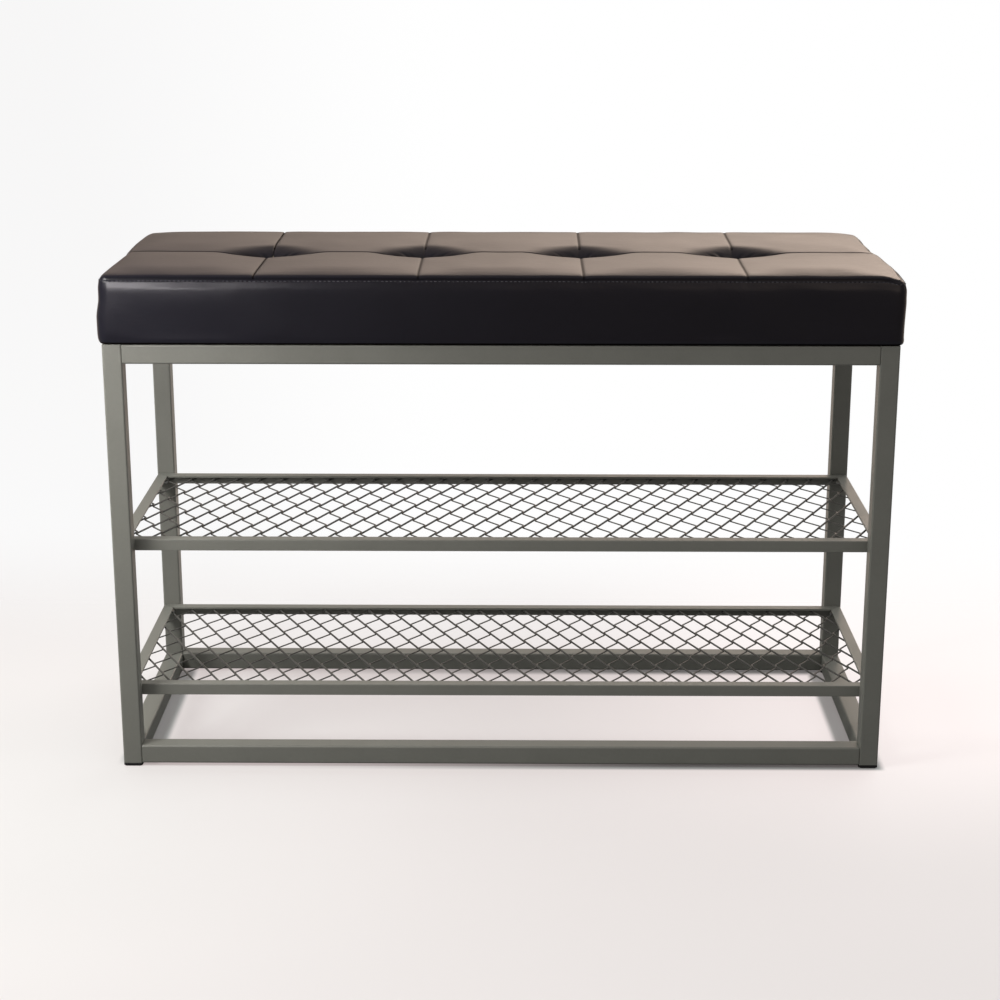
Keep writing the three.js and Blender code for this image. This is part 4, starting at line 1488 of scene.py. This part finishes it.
def cushion_surface(seat, cloth):
    """The finished outer surface of the cushion: grid, smooth points, grooved points and faces."""
    grid = CushionGrid(seat, is_fine=True)
    points, faces = grid.build()
    if cloth:
        held = np.zeros(len(points))
        for index in range(len(TUFT_XS)):
            held += tuft_shape(points[:, 0], points[:, 1], index, seat) / seat.tuft_depth
        edge = SEAT_HALF.y + points[:, 1]
        calm = (1 - 0.9 * ease(held * 4)) * (0.25 + 0.75 * ease(edge / (45 * MM)))
        points = points + carry_over(*cloth, points) * calm[:, None]
    points[:, 0] += end_shift(points)
    normals = vertex_normals(points, faces)
    low = points[:, 2] - SEAT_LOW.z
    side = ease((low - 4 * MM) / (8 * MM)) * ease((64 * MM - low) / (8 * MM))
    girth = np.where(np.abs(normals[:, 0]) > 0.7, points[:, 1], points[:, 0])
    wave = 0.38 * ripple(girth, low * 1.6, 11, 95 * MM) + 0.06 * ripple(girth, low, 12, 26 * MM)
    pucker = 0.03 * ripple(girth, low * 0.5, 13, 8 * MM) * bell(low - 60 * MM, 5 * MM)
    points = points + normals * ((side * wave + pucker) * MM)[:, None]
    normals = vertex_normals(points, faces)
    depth = seam_groove(points, seat) + stitch_groove(points, seat)
    grooved = points - normals * depth[:, None]
    return grid, points, grooved, normals, faces


def close_shell(grid, outer, inner, faces, hem_low, hem_high):
    """Joins the outer and the inner skin through a hem under the board."""
    base = len(outer)
    all_faces = list(faces) + [tuple(base + k for k in reversed(face)) for face in faces]
    points = [outer, inner]
    start = 2 * base
    count = len(grid.last_ring)
    outer_loop = list(grid.last_ring)
    inner_loop = [base + k for k in grid.last_ring]
    mouth = SEAT_HALF - Vector((HEM_WIDTH, HEM_WIDTH))
    edge = outer[grid.last_ring]
    for share_ in (0.35, 0.7, 1.0):
        for loop, height, is_outer in ((outer_loop, hem_low, True), (inner_loop, hem_high, False)):
            ring = edge.copy()
            for axis, limit in ((0, mouth.x), (1, mouth.y)):
                ring[:, axis] = edge[:, axis] * (1 - share_) + np.clip(edge[:, axis], -limit, limit) * share_
            ring[:, 2] = height
            points.append(ring)
            new_loop = list(range(start, start + count))
            for i in range(count):
                j = (i + 1) % count
                quad = (loop[i], new_loop[i], new_loop[j], loop[j])
                all_faces.append(quad if is_outer else tuple(reversed(quad)))
            start += count
            if is_outer:
                outer_loop = new_loop
            else:
                inner_loop = new_loop
    for i in range(count):
        j = (i + 1) % count
        all_faces.append((outer_loop[i], inner_loop[i], inner_loop[j], outer_loop[j]))
    return np.concatenate(points), all_faces


CUSHION = {}


class BENCH_OT_seat_cover(Operator):
    """Builds the tufted leather cover and the line of stitches round it"""

    bl_idname = "bench.seat_cover"
    bl_label = "Seat Cover"

    def execute(self, context):
        seat = context.scene.bench_seat
        cloth = inflate_cushion(seat)
        grid, smooth, grooved, normals, faces = cushion_surface(seat, cloth)
        inner = smooth - normals * seat.skin
        floor = SEAT_LOW.z
        inner[:, 2] = np.maximum(inner[:, 2], floor + seat.skin)
        grooved[:, 2] = np.maximum(grooved[:, 2], floor)
        points, all_faces = close_shell(grid, grooved, inner, faces, floor, floor + seat.skin)
        piece = new_object("seat_leather_cover", points, all_faces)
        piece.data.shade_smooth()
        # The seam attribute holds the seam lines and the painted shade under the bottom edge, along the
        # rolled top edge and in the tufts.
        seam = np.zeros(len(points))
        seam[: len(grooved)] = seam_and_painted_shade_mask(smooth)
        piece.data.attributes.new("seam", "FLOAT", "POINT").data.foreach_set("value", seam)
        finish_piece(piece, "seat_leather", ["seat_cover"])
        CUSHION.update(grid=grid, smooth=smooth, normals=normals, faces=faces)
        self.stitch(grid, grooved, normals, seat)
        return {"FINISHED"}

    def stitch(self, grid, points, normals, seat):
        drop = TOP_REFERENCE - seat.stitch_drop
        rings = side_rings(seat, True)
        nearest = min(range(len(rings)), key=lambda k: abs(rings[k][1] - drop))
        start = grid.ring_starts[nearest]
        count = len(grid.last_ring)
        line = points[start : start + count] + normals[start : start + count] * (0.6 * seat.stitch_radius)
        path = new_object("cushion_stitches", line, [])
        path.data.edges.add(count)
        ends = [k for i in range(count) for k in (i, (i + 1) % count)]
        path.data.edges.foreach_set("vertices", ends)
        values = {
            "Pitch": seat.stitch_pitch,
            "Length": 0.66 * seat.stitch_pitch,
            "Radius": seat.stitch_radius,
            "Material": MATERIALS["thread"],
        }
        grow(path, make_stitch_tree(), values)
        path.data.shade_smooth()
        finish_piece(path, "tie_twine", [], "thread")


FOAM_GAP = 1.2 * MM


class BENCH_OT_seat_foam(Operator):
    """Builds the foam block inside the cover"""

    bl_idname = "bench.seat_foam"
    bl_label = "Seat Foam"

    def execute(self, context):
        seat = context.scene.bench_seat
        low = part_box("seat_foam")[0].z
        grid = CushionGrid(seat, is_fine=False)
        points, faces = grid.build()
        normals = vertex_normals(points, faces)
        points = points - normals * (seat.skin + FOAM_GAP)
        points[:, 2] = np.maximum(points[:, 2], low)
        loop = grid.last_ring
        faces += [(here, len(points), loop[(i + 1) % len(loop)]) for i, here in enumerate(loop)]
        points = np.concatenate([points, [[0.0, 0.0, low]]])
        piece = new_object("seat_foam_block", points, faces)
        face_outwards(piece, 1e-5)
        piece.data.shade_smooth()
        finish_piece(piece, "seat_foam", ["seat_foam"])
        return {"FINISHED"}


CLOTH_THICKNESS = 0.6 * MM
CLOTH_STEP = 6 * MM


class BENCH_OT_seat_base(Operator):
    """Finishes the board and the ties, and builds the dust cover under them"""

    bl_idname = "bench.seat_base"
    bl_label = "Seat Base"

    def execute(self, context):
        materials = {f"tuft_tie_{i + 1}": "tie_twine" for i in range(len(TUFT_XS))}
        materials["seat_board"] = "seat_board"
        for name, material in materials.items():
            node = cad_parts[name]
            node.data.materials.clear()
            node.data.materials.append(MATERIALS[material])
        low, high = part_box("dust_cover")
        size = high - low
        rows, columns = int(size.x / CLOTH_STEP), int(size.y / CLOTH_STEP)
        along, across = np.linspace(low.x, high.x, rows), np.linspace(low.y, high.y, columns)
        gx, gy = np.meshgrid(along, across, indexing="ij")
        edge = np.minimum(high.x - np.abs(gx), high.y - np.abs(gy))
        sag = 0.9 * MM * ease(edge / (60 * MM)) + 0.12 * MM * ripple(gx, gy, 5, 70 * MM)
        top = high.z - np.clip(sag, 0, 2 * MM) - 0.02 * MM
        upper = np.stack([gx, gy, top], -1).reshape(-1, 3)
        lower = upper - np.array([0, 0, CLOTH_THICKNESS])
        total = len(upper)
        faces = []
        for face in grid_faces(rows, columns):
            faces += [face, tuple(total + k for k in reversed(face))]
        ids = [i * columns + j for i, j in grid_rim(rows - 1, columns - 1)]
        for k, here in enumerate(ids):
            following = ids[(k + 1) % len(ids)]
            faces.append((here, total + here, total + following, following))
        piece = new_object("dust_cloth", np.concatenate([upper, lower]), faces)
        piece.data.shade_smooth()
        finish_piece(piece, "dust_cloth", ["dust_cover"])
        return {"FINISHED"}


class BENCH_OT_staples(Operator):
    """Builds the staples that fix the dust cover, evenly spaced along its edge"""

    bl_idname = "bench.staples"
    bl_label = "Staples"

    def execute(self, context):
        seat = context.scene.bench_seat
        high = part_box("dust_cover")[1]
        wire, crown, leg, inset = 0.7 * MM, 10 * MM, 6 * MM, 2.5 * MM
        half, inner = crown / 2, crown / 2 - wire
        outline = [(-half, 0), (half, 0), (half, leg), (inner, leg)]
        outline += [(inner, wire), (-inner, wire), (-inner, leg), (-half, leg)]
        shape = bar("staple_shape", outline, "y", 1.1 * MM, Vector())
        half_x, half_y = high.x - inset, high.y - inset
        height = high.z - CLOTH_THICKNESS - wire
        places, turns = [], []
        for half, across, turn in ((half_x, half_y, 0.0), (half_y, half_x, math.pi / 2)):
            count = round(2 * half / seat.staple_pitch)
            for side in (-1, 1):
                for i in range(count):
                    along = -half + (i + 0.5) * 2 * half / count
                    places.append((side * across, along, height) if turn else (along, side * across, height))
                    turns.append((0, 0, turn))
        repeat_shape("dust_cloth_staples", shape, places, turns, "screw_steel", [])
        return {"FINISHED"}


# ---------------------------------------------------------------------------
# Stage
# ---------------------------------------------------------------------------


# What a glossy surface mirrors of the unlit room
GLOSSY_ROOM = 0.12
FLOOR_REACH = 6.0


class BENCH_OT_stage(Operator):
    """Builds the floor, the light and the camera"""

    bl_idname = "bench.stage"
    bl_label = "Stage"

    def execute(self, context):
        stage = context.scene.bench_stage
        self.make_floor(stage)
        self.make_world(context.scene, stage)
        self.make_lamps(stage)
        self.make_camera(context.scene, stage)
        context.scene.view_settings.view_transform = "Standard"
        return {"FINISHED"}

    def make_floor(self, stage):
        corners = [(-FLOOR_REACH, -FLOOR_REACH, 0), (FLOOR_REACH, -FLOOR_REACH, 0)]
        corners += [(FLOOR_REACH, FLOOR_REACH, 0), (-FLOOR_REACH, FLOOR_REACH, 0)]
        floor = new_object("studio_floor", corners, [(0, 1, 2, 3)])
        material, tree, shader, place = new_material("Studio Floor", Roughness=0.9, Specular_IOR_Level=0.1)
        step = partial(smooth_step, tree)
        soft = mapped(tree, noise(tree, place, 1.3), 0.3, 0.7, 0.0, 1.0)
        tint = blended(tree, soft, rgba(stage.floor), rgba([c * 1.02 for c in stage.floor]))
        direct = tree.nodes.new("ShaderNodeLightPath").outputs["Is Camera Ray"]
        give(tree, shader.inputs["Base Color"], blended(tree, direct, rgba(stage.floor_bounce), tint))
        axes = axes_of(tree, place)
        # Painted light on the floor: a glow seen only by the camera, with painted shade and shadows.
        haze = scaled(tree, stage.painted_floor_light, times(tree, self.painted_floor_light(tree, axes), direct))
        give(tree, shader.inputs["Emission Color"], haze)
        shader.inputs["Emission Strength"].default_value = 1.0
        rear = step(axes["Y"], 0.05, 0.75)
        front = step(axes["Y"], -0.70, -0.95)
        sideways = step(math_node(tree, "ABSOLUTE", axes["X"]), 1.2, 2.4)
        clear = math_node(tree, "MAXIMUM", math_node(tree, "MAXIMUM", rear, front), sideways)
        gap = output(tree, "ShaderNodeBsdfTransparent")
        mixed = output(tree, "ShaderNodeMixShader", {0: clear, 1: shader.outputs[0], 2: gap})
        give(tree, tree.nodes["Material Output"].inputs["Surface"], mixed)
        floor.data.materials.append(material)

    def painted_floor_light(self, tree, axes):
        """Strength of the painted floor light: painted brighter at the right and the rear, darker at the left
        middle and the right front, and painted shadows beside and below the rails.
        """
        step, x, y = partial(smooth_step, tree), axes["X"], axes["Y"]
        # Painted light and shade on the floor: brighter at the right rear, darker at the left middle and the
        # right front.
        right, left = step(x, -0.05, 0.45), step(x, -0.1, -0.45)
        rear, front = step(y, -0.45, 0.0), step(y, -0.42, -0.65)
        middle_ = times(tree, step(y, 0.12, -0.12), step(y, -0.62, -0.40))
        terms = ((right, rear, 0.40), (left, middle_, -0.10), (right, front, -0.04))
        level = plus(tree, 1.0, *[times(tree, *term) for term in terms])
        aside, depth = math_node(tree, "ABSOLUTE", x), math_node(tree, "ABSOLUTE", y)
        within = step(aside, 0.410, 0.400)
        # Painted shadows of the rails on the floor: a strip inside each side rail, and a strip under the
        # front and rear rails that grows stronger towards the right.
        beside = times(tree, step(aside, 0.361, 0.369), within, step(depth, 0.150, 0.125), 0.76)
        below = times(tree, step(depth, 0.120, 0.134), step(depth, 0.158, 0.150), within)
        below = times(tree, below, step(x, -0.34, 0.22), 0.88)
        outside_painted_shadows = math_node(tree, "SUBTRACT", 1.0, math_node(tree, "MAXIMUM", beside, below))
        return times(tree, level, outside_painted_shadows)

    def make_world(self, scene, stage):
        world = bpy.data.worlds.new("Studio")
        scene.world = world
        world.use_nodes = True
        tree = world.node_tree
        background = tree.nodes["Background"]
        axes = axes_of(tree, tree.nodes.new("ShaderNodeTexCoord").outputs["Generated"])
        step, x, y, z = partial(smooth_step, tree), axes["X"], axes["Y"], axes["Z"]
        overhead = times(tree, step(z, 0.15, 0.8), stage.overhead)
        behind = step(y, 0.1, 0.9)
        wall = times(tree, behind, mapped(tree, step(x, -0.2, 0.6), 0.0, 1.0, 0.8, stage.wall))
        side_wall = times(tree, step(x, -0.7, -0.95), stage.side_wall)
        lit = plus(tree, overhead, wall, stage.room, side_wall)
        shine = times(tree, behind, mapped(tree, step(x, -0.30, 0.42), 0.0, 1.0, 0.20, stage.shine))
        shine = times(tree, shine, step(z, 0.5, 0.2), step(z, 0.02, 0.21), step(x, 0.55, 0.30))
        glow = times(tree, step(x, 0.02, 0.22), step(y, -0.5, -0.8), step(z, 0.08, 0.18), 0.7)
        far_floor = times(tree, behind, step(z, -0.02, -0.08), 0.42)
        mirrored = scaled(tree, (1.0, 0.80, 0.66), plus(tree, shine, GLOSSY_ROOM, glow, far_floor))
        plain = scaled(tree, (1.0, 0.985, 0.975), lit)
        downwards = times(tree, step(z, -0.05, -0.4), 0.5)
        pale = math_node(tree, "MAXIMUM", step(x, -0.24, -0.02), downwards)
        backdrop = blended(tree, pale, rgba(stage.backdrop), rgba((1.0, 1.0, 1.0)))
        path = tree.nodes.new("ShaderNodeLightPath").outputs
        seen = blended(tree, path["Is Glossy Ray"], plain, mirrored)
        give(tree, background.inputs["Color"], blended(tree, path["Is Camera Ray"], seen, backdrop))
        background.inputs["Strength"].default_value = 1.0

    def lamp(self, name, power, size, spread, at, towards, tint):
        light = bpy.data.lights.new(name, "AREA")
        light.shape = "RECTANGLE"
        light.size, light.size_y = size
        light.energy = power
        light.spread = math.radians(spread)
        light.color = tint
        lamp = bpy.data.objects.new(name, light)
        lamp.location = at
        lamp.rotation_euler = (Vector(towards) - Vector(at)).to_track_quat("-Z", "Y").to_euler()
        bpy.context.scene.collection.objects.link(lamp)

    def make_lamps(self, stage):
        at, aim = (-0.8, -0.54, 0.845), (-0.33, -0.15, 0.0)
        self.lamp("key_lamp", stage.key_power, (0.3, 0.3), 104, at, aim, (1.0, 0.975, 0.95))
        at, aim = (-0.68, -1.11, 0.71), (-0.41, -0.15, 0.51)
        self.lamp("gleam_lamp", stage.gleam_power, (0.30, 0.15), 40, at, aim, (1.0, 0.95, 0.97))

    def make_camera(self, scene, stage):
        data = bpy.data.cameras.new("camera")
        data.lens = stage.focal_length
        data.sensor_width = 36.0
        camera = bpy.data.objects.new("camera", data)
        pitch, yaw, roll = (math.radians(angle) for angle in (16.19, 0.378, 0.042))
        turn = (
            Matrix.Rotation(yaw, 4, "Z")
            @ Matrix.Rotation(math.pi / 2 - pitch, 4, "X")
            @ Matrix.Rotation(roll, 4, "Z")
        )
        camera.matrix_world = Matrix.Translation((0.0128, -2.1632, 0.8801)) @ turn
        scene.collection.objects.link(camera)
        scene.camera = camera


# ---------------------------------------------------------------------------
# Panel and registration
# ---------------------------------------------------------------------------

BUILD_ORDER = (
    BENCH_OT_legs,
    BENCH_OT_rails,
    BENCH_OT_feet,
    BENCH_OT_rail_bolts,
    BENCH_OT_screws,
    BENCH_OT_shelf_edges,
    BENCH_OT_shelf_meshes,
    BENCH_OT_seat_cover,
    BENCH_OT_seat_foam,
    BENCH_OT_seat_base,
    BENCH_OT_staples,
    BENCH_OT_stage,
)
SETTINGS = {
    "bench_frame": FrameSettings,
    "bench_shelf": ShelfSettings,
    "bench_seat": SeatSettings,
    "bench_stage": StageSettings,
}


class BENCH_PT_build(Panel):
    """Lists the bench's settings and the operators that build its pieces"""

    bl_idname = "BENCH_PT_build"
    bl_label = "Entryway Bench"
    bl_space_type = "VIEW_3D"
    bl_region_type = "UI"
    bl_category = "Bench"

    def draw(self, context):
        for name, group in SETTINGS.items():
            box = self.layout.box()
            for key in group.__annotations__:
                box.prop(getattr(context.scene, name), key)
        for operator in BUILD_ORDER:
            self.layout.operator(operator.bl_idname)


def register():
    for group in SETTINGS.values():
        bpy.utils.register_class(group)
    for name, group in SETTINGS.items():
        setattr(bpy.types.Scene, name, PointerProperty(type=group))
    for operator in BUILD_ORDER:
        bpy.utils.register_class(operator)
    bpy.utils.register_class(BENCH_PT_build)


def unregister():
    bpy.utils.unregister_class(BENCH_PT_build)
    for operator in reversed(BUILD_ORDER):
        bpy.utils.unregister_class(operator)
    for name in SETTINGS:
        delattr(bpy.types.Scene, name)
    for group in SETTINGS.values():
        bpy.utils.unregister_class(group)


def main():
    register()
    make_materials(bpy.context.scene)
    for operator in BUILD_ORDER:
        group, name = operator.bl_idname.split(".")
        getattr(getattr(bpy.ops, group), name)()


if __name__ == "__main__":
    main()
